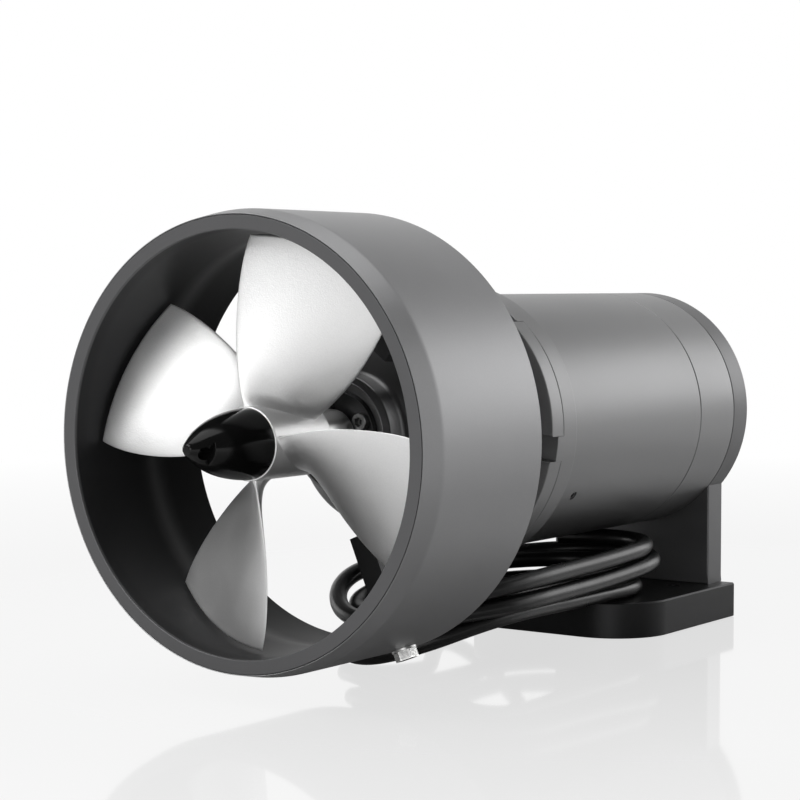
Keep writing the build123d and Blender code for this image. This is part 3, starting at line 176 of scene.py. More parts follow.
class Finish:
    """A material and its Principled shader. node() adds any node and gives one of its outputs."""

    def __init__(self, name, **sockets):
        self.material = bpy.data.materials.new(name)
        self.material.use_nodes = True
        self.nodes = self.material.node_tree.nodes
        self.links = self.material.node_tree.links
        self.shader = self.nodes["Principled BSDF"]
        self.set(**sockets)
        self.place = self.node("ShaderNodeTexCoord", {}, output="Object")

    def set(self, **sockets):
        """Sets the shader's sockets, whose names are given with underscores for spaces."""
        for name, value in sockets.items():
            self.feed(self.shader.inputs[name.replace("_", " ")], value)

    def feed(self, socket, value):
        """Links another node's output to a socket, or sets it to a plain value."""
        if isinstance(value, Value):
            self.links.new(value.socket, socket)
        else:
            socket.default_value = value

    def node(self, kind, settings, *values, output=0, **named):
        """Adds a node with its settings, then feeds its inputs by their order and by their names."""
        made = self.nodes.new(kind)
        for name, setting in settings.items():
            setattr(made, name, setting)
        for number, value in enumerate(values):
            self.feed(made.inputs[number], value)
        for name, value in named.items():
            self.feed(made.inputs[name.replace("_", " ")], value)
        return Value(self, made.outputs[output])

    def noise(self, scale, detail=3.0, roughness=0.5):
        """Fractal noise over the piece, about 0 to 1, with scale cells to the metre."""
        return self.node(
            "ShaderNodeTexNoise", {},
            Vector=self.place, Scale=scale, Detail=detail, Roughness=roughness,
        )

    def mix(self, share, first, second):
        """A colour between two, by a share from 0 to 1."""
        made = self.nodes.new("ShaderNodeMix")
        made.data_type = "RGBA"
        self.feed(made.inputs[0], share)
        self.feed(made.inputs[6], first)
        self.feed(made.inputs[7], second)
        return Value(self, made.outputs[2])

    def span(self, value, low, high, first, last):
        """Goes from first to last while the value goes from low to high."""
        return self.node(
            "ShaderNodeMapRange", {},
            Value=value, From_Min=low, From_Max=high, To_Min=first, To_Max=last,
        )

    def grain(self, height, strength, distance):
        """Feeds the shader's normal with a bump."""
        bump = self.node(
            "ShaderNodeBump", {}, Height=height, Strength=strength, Distance=distance, output="Normal",
        )
        self.set(Normal=bump)


def dress(name, finish):
    """Gives a CAD node one finish."""
    mesh = frame["nodes"][name].data
    mesh.materials.clear()
    mesh.materials.append(finish.material)


jacket = Finish("cable_jacket", Roughness=0.42)
jacket_scuff = jacket.noise(90, 4)
jacket.set(
    Base_Color=jacket.mix(jacket_scuff, (0.006, 0.006, 0.006, 1), (0.014, 0.014, 0.014, 1)),
    Roughness=jacket_scuff * 0.16 + 0.22,
)
jacket.grain(jacket.noise(700, 2), 0.12, 0.0003)
cable_curve.materials.append(jacket.material)


# The duct's outer ring is turned aluminium, hard anodised dark grey, with a long bevel down to a
# sharp lip at the mouth. The liner inside it is a separate ring, and a fine line shows between them.
DUCT_RADIUS = 0.0875
DUCT_LENGTH = 0.0755
SEAM_RADIUS = 0.08515
BEVEL_REAR = 0.0101
ROUND_STEPS = np.linspace(0, 1, 6)


def rounded(corners, closed=True):
    """The outline through corners (a, b, radius): each corner becomes a quadratic curve that starts and
    ends one radius away from it, (1-t)^2 A + 2t(1-t) C + t^2 B."""
    corners = np.array(corners, float)
    spot, radius = corners[:, :2], corners[:, 2:]
    back = np.roll(spot, 1, 0) - spot
    ahead = np.roll(spot, -1, 0) - spot
    if not closed:
        back[0] = ahead[0]
        ahead[-1] = back[-1]
    start = spot + radius * back / np.linalg.norm(back, axis=1, keepdims=True)
    end = spot + radius * ahead / np.linalg.norm(ahead, axis=1, keepdims=True)
    t = ROUND_STEPS[None, :, None]
    arcs = (1 - t) ** 2 * start[:, None] + 2 * t * (1 - t) * spot[:, None] + t ** 2 * end[:, None]
    points = arcs.reshape(-1, 2)
    keep = np.ones(len(points), bool)
    keep[1:] = np.linalg.norm(np.diff(points, axis=0), axis=1) > 1e-7
    return points[keep]


def surface(name, grid, finish, body, slot, wrap_rows=True, crease=35, holes=()):
    """A mesh over a grid of points with a face between each four neighbours. Each row is a loop. The
    rows wrap too, or else the first and the last are closed by one face each. Holes are forms to take
    out."""
    rows, columns = grid.shape[:2]
    index = np.arange(rows * columns).reshape(rows, columns)
    lower = index if wrap_rows else index[:-1]
    upper = np.roll(index, -1, 0) if wrap_rows else index[1:]
    faces = np.stack([lower, np.roll(lower, -1, 1), np.roll(upper, -1, 1), upper], -1)
    face_list = faces.reshape(-1, 4).tolist()
    if not wrap_rows:
        face_list += [index[0][::-1].tolist(), index[-1].tolist()]
    mesh = bpy.data.meshes.new(name)
    mesh.from_pydata(grid.reshape(-1, 3), [], face_list)
    return finished(name, mesh, finish, body, slot, crease, holes)


def outward(mesh):
    """Merges the mesh's doubles and turns its faces outwards."""
    work = bmesh.new()
    work.from_mesh(mesh)
    bmesh.ops.remove_doubles(work, verts=work.verts, dist=2e-6)
    bmesh.ops.dissolve_degenerate(work, edges=work.edges, dist=1e-7)
    bmesh.ops.recalc_face_normals(work, faces=work.faces)
    if work.calc_volume(signed=True) < 0:
        bmesh.ops.reverse_faces(work, faces=work.faces)
    work.to_mesh(mesh)
    work.free()


def finished(name, mesh, finish, body, slot, crease=35, holes=()):
    """Makes a piece of a mesh: takes the holes out, smooths it up to the crease and mounts it."""
    outward(mesh)
    mesh.materials.append(finish.material)
    piece = bpy.data.objects.new(name, mesh)
    scene.collection.objects.link(piece)
    for hole in holes:
        tool = surface("cutting_form", hole, finish, body, slot, wrap_rows=False)
        take_out = piece.modifiers.new("hole", "BOOLEAN")
        take_out.object = tool
        take_out.solver = "EXACT"
        with bpy.context.temp_override(object=piece):
            bpy.ops.object.modifier_apply(modifier="hole")
        bpy.data.objects.remove(tool)
    mesh.polygons.foreach_set("use_smooth", np.ones(len(mesh.polygons), bool))
    mesh.set_sharp_from_angle(angle=math.radians(crease))
    shading = piece.modifiers.new("even_shading", "WEIGHTED_NORMAL")
    shading.keep_sharp = True
    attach(piece, body)
    return piece


def about_axis(radius, angle, setback):
    """Points at a radius and angle about the propeller's axis, and a distance behind the mouth."""
    return np.stack(np.broadcast_arrays(
        radius * np.cos(angle), MOUTH_Y + setback, AXIS_Z + radius * np.sin(angle),
    ), -1)


def turned(name, corners, finish, body, slot, around=192, crease=35, holes=()):
    """A turned piece: a rounded profile of (radius, setback) carried round the axis."""
    profile = rounded(corners)
    angle = np.linspace(0, 2 * math.pi, around, endpoint=False)
    grid = about_axis(profile[:, :1], angle[None, :], profile[:, 1:])
    return surface(name, grid, finish, body, slot, crease=crease, holes=holes)


def anodised(name, colour, roughness, variation):
    """Hard-anodised aluminium: a metal sheen with blasted grain under it and slightly uneven dye."""
    finish = Finish(name, Metallic=0.75)
    cloud = finish.noise(22, 4, 0.6)
    speck = finish.noise(1500, 2)
    pale = tuple(channel * (1 + variation) for channel in colour)
    deep = tuple(channel * (1 - variation) for channel in colour)
    finish.set(
        Base_Color=finish.mix(cloud * 0.7 + speck * 0.3, (*deep, 1), (*pale, 1)),
        Roughness=cloud * 0.1 + (roughness - 0.05),
    )
    finish.grain(finish.noise(2600, 3, 0.7), 0.16, 0.0002)
    return finish


duct_finish = anodised("anodised_duct", (0.30, 0.30, 0.305), 0.42, 0.12)
duct_shell = turned("duct_ring", [
    (SEAM_RADIUS, 0.0002, 0.0001), (SEAM_RADIUS + 0.0003, 0, 0.0001), (DUCT_RADIUS, BEVEL_REAR, 0.0012),
    (DUCT_RADIUS, DUCT_LENGTH, 0.0004), (SEAM_RADIUS, DUCT_LENGTH, 0.0003),
], duct_finish, "thruster", "anodised_duct", around=256)
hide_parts("duct_shell")

# The liner is a turned ring with its narrowest stretch round the blades. Its flat front band is the
# mouth's face, and the inside is bead blasted. Behind the band the inside is painted far darker than the
# outside, as shade in the duct.
THROAT_RADIUS = 0.07925
THROAT_FRONT = 0.006
THROAT_REAR = 0.040
OUTLET_RADIUS = 0.08130
OUTLET_FRONT = 0.050
SEAM_GROOVE = 0.00022
LINER_SLIP = 0.00005
liner_finish = anodised("anodised_liner", (0.085, 0.085, 0.088), 0.5, 0.15)
# Painted shade: behind the mouth's front band the liner's inside turns near black.
painted_inside_shade = liner_finish.span(
    liner_finish.node("ShaderNodeSeparateXYZ", {}, liner_finish.place, output="Y"),
    MOUTH_Y + 0.0006, MOUTH_Y + 0.0016, 0.0, 1.0,
)
liner_finish.set(Base_Color=liner_finish.mix(painted_inside_shade, (0.13, 0.13, 0.133, 1), (0.022, 0.022, 0.023, 1)))
duct_liner = turned("duct_lining", [
    (0.07970, 0, 0.0004), (SEAM_RADIUS - SEAM_GROOVE, 0, 0.00015),
    (SEAM_RADIUS - SEAM_GROOVE, 0.003, 0.0002), (SEAM_RADIUS - LINER_SLIP, 0.004, 0.0002),
    (SEAM_RADIUS - LINER_SLIP, DUCT_LENGTH, 0.0002), (OUTLET_RADIUS, DUCT_LENGTH, 0.0004),
    (OUTLET_RADIUS, OUTLET_FRONT, 0.005), (THROAT_RADIUS, THROAT_REAR, 0.005),
    (THROAT_RADIUS, THROAT_FRONT, 0.002),
], liner_finish, "thruster", "anodised_duct", around=256)
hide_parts("duct_liner")

# The propeller is cast in one piece: four blades of constant pitch on a straight hub, bead blasted
# to a pale grain. The blades are thin plates with rounded edges that thicken where they meet the hub.
ROOT_RADIUS = 0.0115
TIP_RADIUS = 0.0780
TIP_ROUND = 0.0012
ROOT_THICKNESS = 0.0040
TIP_THINNING = 0.0018
FILLET_THICKNESS = 0.0050
FILLET_RADIUS = 0.0190
FILLET_REACH = 0.006
HUB_RADIUS = 0.0140
HUB_BORE = 0.0056
HUB_FRONT = 0.0085
HUB_REAR = 0.0430
HELIX_RISE = 0.156 / (2 * math.pi)
BLADE_MIDDLE = 0.0236
BLADE_ANGLES = np.radians([70, 160, 250, 340])
# How far each edge reaches from the blade's middle line, as an angle at growing radii.
LEADING = np.polynomial.Polynomial.fit(
    [0.010, 0.013, 0.026, 0.039, 0.055, 0.072, 0.078],
    np.radians([31, 31.3, 31.7, 30, 27, 23.6, 21.8]), 4,
)
TRAILING = np.polynomial.Polynomial.fit(
    [0.010, 0.016, 0.027, 0.044, 0.058, 0.072, 0.078],
    np.radians([31, 31.4, 32.4, 29, 26.9, 23.2, 21.5]), 4,
)


def blade_grid(middle):
    """A blade as rings of points round its section at growing radii. On a ring, u = cos(a) runs from
    one edge to the other, the point lies on the helicoid setback = middle - rise * angle, and is moved
    along the helicoid's normal by half the thickness times (1 - u^4)^0.5 (1 - 0.3 u^2)."""
    radius = np.concatenate([
        np.linspace(ROOT_RADIUS, 0.020, 18), np.linspace(0.0213, 0.0764, 44),
        TIP_RADIUS - TIP_ROUND * (1 - np.sin(np.linspace(0.2, math.pi / 2, 7))),
    ])[:, None]
    loop = np.linspace(0, 2 * math.pi, 120, endpoint=False)[None, :]
    u = np.cos(loop)
    reach = np.where(u > 0, LEADING(radius), TRAILING(radius))
    angle = reach * u
    growth = (radius - ROOT_RADIUS) / (TIP_RADIUS - ROOT_RADIUS)
    fillet = FILLET_THICKNESS * np.clip((FILLET_RADIUS - radius) / FILLET_REACH, 0, 1) ** 2
    thickness = ROOT_THICKNESS - TIP_THINNING * growth + fillet
    tip = np.sqrt(np.clip(1 - ((radius - TIP_RADIUS + TIP_ROUND) / TIP_ROUND).clip(0, 1) ** 2, 0, 1))
    half = 0.5 * thickness * tip * np.sqrt(1 - u ** 4 + 1e-9) * (1 - 0.3 * u ** 2)
    half = half * np.where(np.sin(loop) >= 0, 1, -1)
    size = np.hypot(radius, HELIX_RISE)
    normal = np.stack(np.broadcast_arrays(
        -HELIX_RISE * np.sin(angle), HELIX_RISE * np.cos(angle), radius,
    ), -1) / size[..., None]
    across = radius * np.cos(angle) + half * normal[..., 0]
    up = radius * np.sin(angle) + half * normal[..., 1]
    back = BLADE_MIDDLE - HELIX_RISE * angle + half * normal[..., 2]
    turn_cos, turn_sin = math.cos(middle), math.sin(middle)
    return np.stack([
        across * turn_cos - up * turn_sin, MOUTH_Y + back, AXIS_Z + across * turn_sin + up * turn_cos,
    ], -1)


casting = Finish("blasted_alloy", Metallic=0.9)
casting_cloud = casting.noise(60, 4, 0.6)
casting_speck = casting.noise(1800, 3, 0.7)
casting.set(
    Base_Color=casting.mix(
        casting_cloud * 0.45 + casting_speck * 0.55, (0.74, 0.74, 0.74, 1), (0.95, 0.95, 0.945, 1),
    ),
    Roughness=casting_cloud * 0.12 + 0.36,
)
casting.grain(casting_speck * 0.7 + casting.noise(700, 2) * 0.3, 0.35, 0.0003)
for number, middle in enumerate(BLADE_ANGLES):
    surface(
        f"blade_{number + 1}", blade_grid(middle), casting, "propulsor", "blasted_alloy",
        wrap_rows=False, crease=60,
    )
hub = turned("propeller_hub", [
    (HUB_BORE, HUB_FRONT, 0.0002), (HUB_RADIUS, HUB_FRONT, 0.0005), (HUB_RADIUS, HUB_REAR, 0.0012),
    (HUB_BORE, HUB_REAR, 0.0002),
], casting, "propulsor", "blasted_alloy")
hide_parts("propeller")

# The spinner is the propeller's nut: a bullet turned from aluminium and polished black, with a cross
# hole for a bar in two small flats near its tip.
CROSS_HOLE_SETBACK = -0.0208
CROSS_HOLE_RADIUS = 0.0025
CROSS_HOLE_TURN = math.radians(-20)
SPINNER_FLAT = 0.0053
FLAT_REACH = 0.0042
PAST_SPINNER = 0.02
SPINNER_PROFILE = np.polynomial.Polynomial.fit(
    [0.0085, -0.0039, -0.0150, -0.0255], [0.0135, 0.0120, 0.00837, 0.00216], 3,
)


def bar_across(direction, setback, half_long, half_wide, near, far, sides=48):
    """A bar across the axis at a setback, for cutting a hole or flat: two rings of points. With four
    sides it is square-edged and its half sizes are those times the root of a half."""
    angle = (np.arange(sides) + 0.5)[None, :] * 2 * math.pi / sides
    length = np.array([[near], [far]])
    out = np.array([math.cos(direction), 0, math.sin(direction)])
    side = np.array([0, 1, 0])
    cross = np.cross(out, side)
    centre = np.array([0, MOUTH_Y + setback, AXIS_Z])
    return (
        centre + length[..., None] * out
        + half_long * np.cos(angle)[..., None] * side + half_wide * np.sin(angle)[..., None] * cross
    )


gloss = Finish("gloss_black", Specular_IOR_Level=0.25)
gloss_film = gloss.noise(160, 3)
gloss.set(
    Base_Color=gloss.mix(gloss_film, (0.003, 0.003, 0.003, 1), (0.006, 0.006, 0.006, 1)),
    Roughness=gloss_film * 0.1 + 0.1,
)
bullet_backs = np.concatenate([
    [HUB_FRONT, HUB_FRONT], np.linspace(0.0083, -0.0254, 44), [-0.0258, -0.0260],
])[:, None]
bullet_rows = SPINNER_PROFILE(bullet_backs)
bullet_rows[[0, 1, -2, -1], 0] = [0.0054, 0.0133, 0.0018, 0.0013]
bullet_angle = np.linspace(0, 2 * math.pi, 128, endpoint=False)[None, :]
spinner = surface(
    "spinner_nut", about_axis(bullet_rows, bullet_angle, bullet_backs), gloss, "propulsor",
    "gloss_black", wrap_rows=False, crease=30,
    holes=[
        bar_across(CROSS_HOLE_TURN, CROSS_HOLE_SETBACK, *hole_form)
        for hole_form in (
            (CROSS_HOLE_RADIUS, CROSS_HOLE_RADIUS, -PAST_SPINNER, PAST_SPINNER),
            (FLAT_REACH, PAST_SPINNER, SPINNER_FLAT, PAST_SPINNER, 4),
            (FLAT_REACH, PAST_SPINNER, -PAST_SPINNER, -SPINNER_FLAT, 4),
        )
    ],
)
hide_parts("spinner")

# Behind the hub a stainless sleeve covers the shaft up to the nose. It is turned, with a fine groove
# near its front end.
SLEEVE_RADIUS = 0.0105
SLEEVE_REAR = 0.0620
steel = Finish("stainless", Metallic=1.0)
steel_lines = steel.noise(160, 3)
steel.set(
    Base_Color=steel.mix(steel_lines, (0.62, 0.62, 0.615, 1), (0.74, 0.74, 0.73, 1)),
    Roughness=steel_lines * 0.1 + 0.24,
)
sleeve = turned("spacer_sleeve", [
    (HUB_BORE, HUB_REAR, 0.0002), (SLEEVE_RADIUS, HUB_REAR, 0.0005), (SLEEVE_RADIUS, 0.0455, 0.0002),
    (0.0100, 0.0458, 0.0001), (0.0100, 0.0464, 0.0001), (SLEEVE_RADIUS, 0.0467, 0.0002),
    (SLEEVE_RADIUS, SLEEVE_REAR, 0.0006), (HUB_BORE, SLEEVE_REAR, 0.0002),
], steel, "propulsor", "stainless", around=128)
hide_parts("shaft_sleeve")

# The front bell is turned in one piece with its notched flange. Its nose carries the seal cover in a
# ring-shaped recess, a short cone widens to the barrel, and the barrel runs back to the flange. The nose
# is painted a darker grey than the flange, as painted shade inside the duct.
NOSE_FACE = 0.065
COVER_FLOOR = NOSE_FACE + 0.005
NOSE_RADIUS = 0.0240
BARREL_RADIUS = 0.0385
BARREL_REAR = 0.1300
FLANGE_FRONT = 0.1296
HOUSING_FRONT = 0.1384
FLANGE_RADIUS = 0.0594
NOTCH_FLOOR = 0.047
NOTCH_HALF = 0.0052
FIRST_NOTCH = -67
NOTCH_ANGLES = np.radians(np.arange(6) * 60 + FIRST_NOTCH)
black_finish = anodised("anodised_black", (0.030, 0.030, 0.031), 0.36, 0.2)
# Painted shade: the bell's nose gets a darker grey than its flange and the housing.
shaded_bell_finish = anodised("anodised_bell", (0.13, 0.13, 0.132), 0.34, 0.12)
grey_finish = anodised("anodised_grey", (0.24, 0.24, 0.243), 0.40, 0.1)
bell = turned("bell_nose", [
    (0.0101, COVER_FLOOR, 0.0001), (0.01735, COVER_FLOOR, 0.0001),
    (0.01735, NOSE_FACE + 0.0026, 0.0002), (0.0213, NOSE_FACE + 0.0026, 0.0003),
    (0.0213, NOSE_FACE, 0.0002), (0.0218, NOSE_FACE, 0.0002), (NOSE_RADIUS, NOSE_FACE + 0.0022, 0.0006),
    (NOSE_RADIUS, 0.0760, 0.0020), (BARREL_RADIUS, 0.0880, 0.0040), (BARREL_RADIUS, BARREL_REAR, 0.0002),
    (0.0101, BARREL_REAR, 0.0002),
], shaded_bell_finish, "thruster", "anodised_black")
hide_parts("front_bell")


def flange_outline():
    """The notched ring's outline, counter-clockwise: from each notch floor's rounded corner out along
    its wall, round the rim's arc to the next notch, and in again."""
    pieces = []
    lean = math.asin(NOTCH_HALF / FLANGE_RADIUS)
    corners = rounded([
        (NOTCH_FLOOR, 0, 0), (NOTCH_FLOOR, NOTCH_HALF, 0.002),
        (FLANGE_RADIUS * math.cos(lean), NOTCH_HALF, 0),
    ], closed=False)
    next_angles = np.append(NOTCH_ANGLES[1:], NOTCH_ANGLES[0] + 2 * math.pi)
    for here, following in zip(NOTCH_ANGLES, next_angles):
        this_way, next_way = (
            np.array([[math.cos(angle), math.sin(angle)], [-math.sin(angle), math.cos(angle)]])
            for angle in (here, following)
        )
        rim = np.linspace(here + lean, following - lean, 40)[1:-1]
        pieces.append(corners @ this_way)
        pieces.append(FLANGE_RADIUS * np.stack([np.cos(rim), np.sin(rim)], -1))
        pieces.append((corners * (1, -1))[::-1][:-1] @ next_way)
    return np.concatenate(pieces)


def plate(name, outline, front, rear, bevel, finish, body, slot, crease=35):
    """A flat plate across the axis: its outline of (x, height over the axis) carried from front to
    rear, drawn in by the bevel at both faces."""
    tangent = np.roll(outline, -1, 0) - np.roll(outline, 1, 0)
    normal = np.stack([tangent[:, 1], -tangent[:, 0]], -1)
    normal = normal / np.linalg.norm(normal, axis=1, keepdims=True)
    lean = np.linspace(0, math.pi / 2, 5)
    inset = bevel * np.concatenate([1 - np.sin(lean), (1 - np.sin(lean))[::-1]])
    back = np.concatenate([
        front + bevel * (1 - np.cos(lean)), rear - bevel * (1 - np.cos(lean))[::-1],
    ])
    flat = outline[None] - inset[:, None, None] * normal[None]
    grid = np.stack([
        flat[..., 0], np.broadcast_to(MOUTH_Y + back[:, None], flat.shape[:2]), AXIS_Z + flat[..., 1],
    ], -1)
    return surface(name, grid, finish, body, slot, wrap_rows=False, crease=crease)


plate(
    "bell_flange", flange_outline(), FLANGE_FRONT, HOUSING_FRONT, 0.0004, grey_finish, "thruster",
    "anodised_grey",
)

# The seal cover is a small black disc in the nose, held by four cap screws with blackened heads,
# which are worn paler than the disc.
COVER_RADIUS = 0.0173
COVER_BORE = 0.0066
cover = turned("seal_disc", [
    (COVER_BORE, NOSE_FACE, 0.0003), (COVER_RADIUS, NOSE_FACE, 0.0004),
    (COVER_RADIUS, COVER_FLOOR, 0.0002), (COVER_BORE, COVER_FLOOR, 0.0002),
], black_finish, "thruster", "anodised_black", around=128)
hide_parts("seal_cover")


def screw_head(name, seat, out, radius, height, key, finish, body, slot):
    """A cap screw's head: rings of points from its underside up the side, over the chamfer, and
    down a hexagonal socket. A ring's radius goes from a circle to key / cos(angle within a sixth)."""
    out = np.array(out, float)
    side = np.cross(out, (0.31, 0.83, 0.46))
    side = side / np.linalg.norm(side)
    cross = np.cross(out, side)
    angle = np.linspace(0, 2 * math.pi, 72, endpoint=False)
    sixth = (angle % (math.pi / 3)) - math.pi / 6
    hexagon = key / np.cos(sixth)
    circle = np.ones_like(angle)
    rings = np.array([
        0.02 * radius * circle, 0.985 * radius * circle, radius * circle, radius * circle,
        0.98 * radius * circle, 0.9 * radius * circle, hexagon * 1.06, hexagon, hexagon,
        0.02 * radius * circle,
    ])
    level = height * np.array([0, 0, 0.03, 0.86, 0.95, 1.0, 1.0, 0.97, 0.42, 0.36])
    points = (
        np.array(seat, float)
        + level[:, None, None] * out
        + rings[..., None] * (np.cos(angle)[:, None] * side + np.sin(angle)[:, None] * cross)
    )
    return surface(name, points, finish, body, slot, wrap_rows=False, crease=30)


black_steel = Finish("black_steel", Metallic=0.85)
black_steel_wear = black_steel.noise(900, 2)
black_steel.set(
    Base_Color=black_steel.mix(black_steel_wear, (0.16, 0.16, 0.16, 1), (0.26, 0.26, 0.26, 1)),
    Roughness=black_steel_wear * 0.2 + 0.28,
)
COVER_SCREW_CIRCLE = 0.0129
COVER_SCREW_SEAT = NOSE_FACE + 0.0016
COVER_SCREW_ANGLES = np.radians([26, 116, 206, 296])
COVER_SCREW_RADIUS = 0.0035
COVER_SCREW_HEIGHT = 0.004
COVER_SCREW_KEY = 0.0016
cover_heads = [
    screw_head(
        f"seal_disc_screw_{number + 1}", about_axis(COVER_SCREW_CIRCLE, angle, COVER_SCREW_SEAT),
        (0, -1, 0), COVER_SCREW_RADIUS, COVER_SCREW_HEIGHT, COVER_SCREW_KEY,
        black_steel, "thruster", "black_steel",
    )
    for number, angle in enumerate(COVER_SCREW_ANGLES)
]
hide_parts("seal_cover_screws")

# The motor housing is a tube with a collar at its front. Six lugs on the collar stand in the bell's
# notches. It is anodised grey, paler than the bell's nose, which is painted darker as shade.
COLLAR_RADIUS = 0.0595
COLLAR_REAR = 0.1488
HOUSING_RADIUS = 0.055
HOUSING_BORE = 0.0500
HOUSING_REAR = 0.2671
SEAM_BREAK = 0.0005
PIN_TURN = math.radians(-32.6)
PIN_SETBACK = 0.168
PIN_HOLE_RADIUS = 0.00205
housing = turned("housing_tube", [
    (HOUSING_BORE, HOUSING_FRONT, 0.0002), (COLLAR_RADIUS, HOUSING_FRONT, 0.0004),
    (COLLAR_RADIUS, COLLAR_REAR, 0.0005), (HOUSING_RADIUS, COLLAR_REAR, 0.0005),
    (HOUSING_RADIUS, HOUSING_REAR - SEAM_BREAK, 0.0001),
    (HOUSING_RADIUS - SEAM_BREAK, HOUSING_REAR, 0.0001), (HOUSING_BORE, HOUSING_REAR, 0.0002),
], grey_finish, "thruster", "anodised_grey", around=256,
    holes=[bar_across(PIN_TURN, PIN_SETBACK, PIN_HOLE_RADIUS, PIN_HOLE_RADIUS, 0.049, 0.060)])
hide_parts("motor_housing")
LUG_FRONT = HOUSING_FRONT - 0.0044
LUG_ROOM = 0.0001


def lug_outline(middle):
    """A lug: a sector of the collar as wide as its notch, less a little room."""
    lean = math.asin((NOTCH_HALF - LUG_ROOM) / COLLAR_RADIUS)
    outer = np.linspace(middle - lean, middle + lean, 12)
    inner = np.linspace(middle + 1.18 * lean, middle - 1.18 * lean, 8)
    return np.concatenate([
        COLLAR_RADIUS * np.stack([np.cos(outer), np.sin(outer)], -1),
        0.0501 * np.stack([np.cos(inner), np.sin(inner)], -1),
    ])


for number, middle in enumerate(NOTCH_ANGLES):
    plate(
        f"housing_lug_{number + 1}", lug_outline(middle), LUG_FRONT, HOUSING_FRONT + 0.001, 0.0002,
        grey_finish, "thruster", "anodised_grey",
    )

# The rear cap is a turned cup that screws into the housing, with a fine seam where they meet.
CAP_REAR = 0.3003
CAP_FLOOR = 0.2880
CAP_BORE = 0.0450
cap = turned("cap_shell", [
    (CAP_BORE, HOUSING_REAR, 0.0002), (HOUSING_RADIUS - SEAM_BREAK, HOUSING_REAR, 0.0001),
    (HOUSING_RADIUS, HOUSING_REAR + SEAM_BREAK, 0.0001), (HOUSING_RADIUS, CAP_REAR - SEAM_BREAK, 0.0001),
    (HOUSING_RADIUS - SEAM_BREAK, CAP_REAR, 0.0001),
    (0.0060, CAP_REAR, 0.0002), (0.0060, CAP_FLOOR, 0.0002), (CAP_BORE, CAP_FLOOR, 0.0010),
], grey_finish, "thruster", "anodised_grey", around=256)
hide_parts("rear_cap")

# The bracket is a milled plate: a round head the size of the housing and a straight leg that stands
# on the foot. Its edges are broken by hand.
BRACKET_REAR = 0.3143
LEG_HALF = 0.042
FOOT_TOP = 0.016
shoulder = -math.acos(LEG_HALF / HOUSING_RADIUS)
head_arc = np.linspace(shoulder, math.pi - shoulder, 150)
head_points = HOUSING_RADIUS * np.stack([np.cos(head_arc), np.sin(head_arc)], -1)
leg_side = np.linspace(0, 1, 12)[1:, None]
leg_bottom = np.array([LEG_HALF, FOOT_TOP - AXIS_Z])
left_leg = head_points[-1] + leg_side * (leg_bottom * (-1, 1) - head_points[-1])
right_leg = (leg_bottom + leg_side * (head_points[0] - leg_bottom))[:-1]
bracket_outline = np.concatenate([head_points, left_leg, [leg_bottom], right_leg])
# Painted shade: the bracket is the housing's anodised grey, painted darker for the shade it stands in.
shaded_bracket_finish = anodised("anodised_bracket", (0.15, 0.15, 0.153), 0.42, 0.12)
bracket = plate(
    "bracket_plate", bracket_outline, CAP_REAR, BRACKET_REAR, 0.0007, shaded_bracket_finish, "thruster",
    "anodised_grey",
)
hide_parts("bracket")

# The foot is a thick milled plate with large rounded front corners and four bolt holes. Its top edge
# has a small chamfer that catches the light.
FOOT_HALF = 0.049
FOOT_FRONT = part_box("foot")[0].y
FOOT_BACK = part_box("foot")[1].y
FOOT_CORNER = 0.028
FOOT_HOLE_RADIUS = 0.0033
FOOT_HOLE_X = 0.030
FOOT_HOLE_Y = 0.022


def foot_outline():
    """The foot seen from above: straight back and sides and a quarter circle at each front corner."""
    turn = np.linspace(0, math.pi / 2, 40)
    centre = np.array([FOOT_HALF - FOOT_CORNER, FOOT_FRONT + FOOT_CORNER])
    right = centre + FOOT_CORNER * np.stack([np.sin(turn), -np.cos(turn)], -1)
    left = (right * (-1, 1))[::-1]
    back = rounded([
        (FOOT_HALF, FOOT_BACK - 0.01, 0), (FOOT_HALF, FOOT_BACK, 0.0008),
        (-FOOT_HALF, FOOT_BACK, 0.0008), (-FOOT_HALF, FOOT_BACK - 0.01, 0),
    ], closed=False)
    return np.concatenate([right, back, left])


outline = foot_outline()
tangent = np.roll(outline, -1, 0) - np.roll(outline, 1, 0)
aside = np.stack([tangent[:, 1], -tangent[:, 0]], -1)
aside = aside / np.linalg.norm(aside, axis=1, keepdims=True)
foot_inset = np.array([0.0003, 0.0001, 0, 0, 0.0001, 0.0005, 0.0007])
foot_level = np.array([
    0, 0.0001, 0.0004, FOOT_TOP - 0.0008, FOOT_TOP - 0.0006, FOOT_TOP - 0.0001, FOOT_TOP,
])
foot_flat = outline[None] - foot_inset[:, None, None] * aside[None]
foot_height = np.broadcast_to(foot_level[:, None, None], (*foot_flat.shape[:2], 1))
foot_grid = np.concatenate([foot_flat, foot_height], -1)
foot_finish = anodised("anodised_foot", (0.030, 0.030, 0.031), 0.42, 0.12)
hole_turn = np.linspace(0, 2 * math.pi, 48, endpoint=False)


def upright_bar(x, y, radius):
    """A round bar through the foot, for a bolt hole."""
    ring = np.c_[x + radius * np.cos(hole_turn), y + radius * np.sin(hole_turn)]
    return np.stack([np.c_[ring, np.full(len(ring), level)] for level in (-0.01, 0.03)])


foot = surface(
    "foot_plate", foot_grid, foot_finish, "thruster", "anodised_grey", wrap_rows=False,
    holes=[
        upright_bar(x, y, FOOT_HOLE_RADIUS)
        for x in (-FOOT_HOLE_X, FOOT_HOLE_X) for y in (-FOOT_HOLE_Y, FOOT_HOLE_Y)
    ],
)
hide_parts("foot")

# Three flat arms stand in the bell's notches and carry the duct. Each ends in a curved pad that lies
# against the liner and is screwed to it from inside.
for number in range(3):
    edge = frame["nodes"][f"duct_arm_{number + 1}"].modifiers.new("broken_edge", "BEVEL")
    edge.width = 0.0004
    edge.segments = 2
    edge.limit_method = "ANGLE"

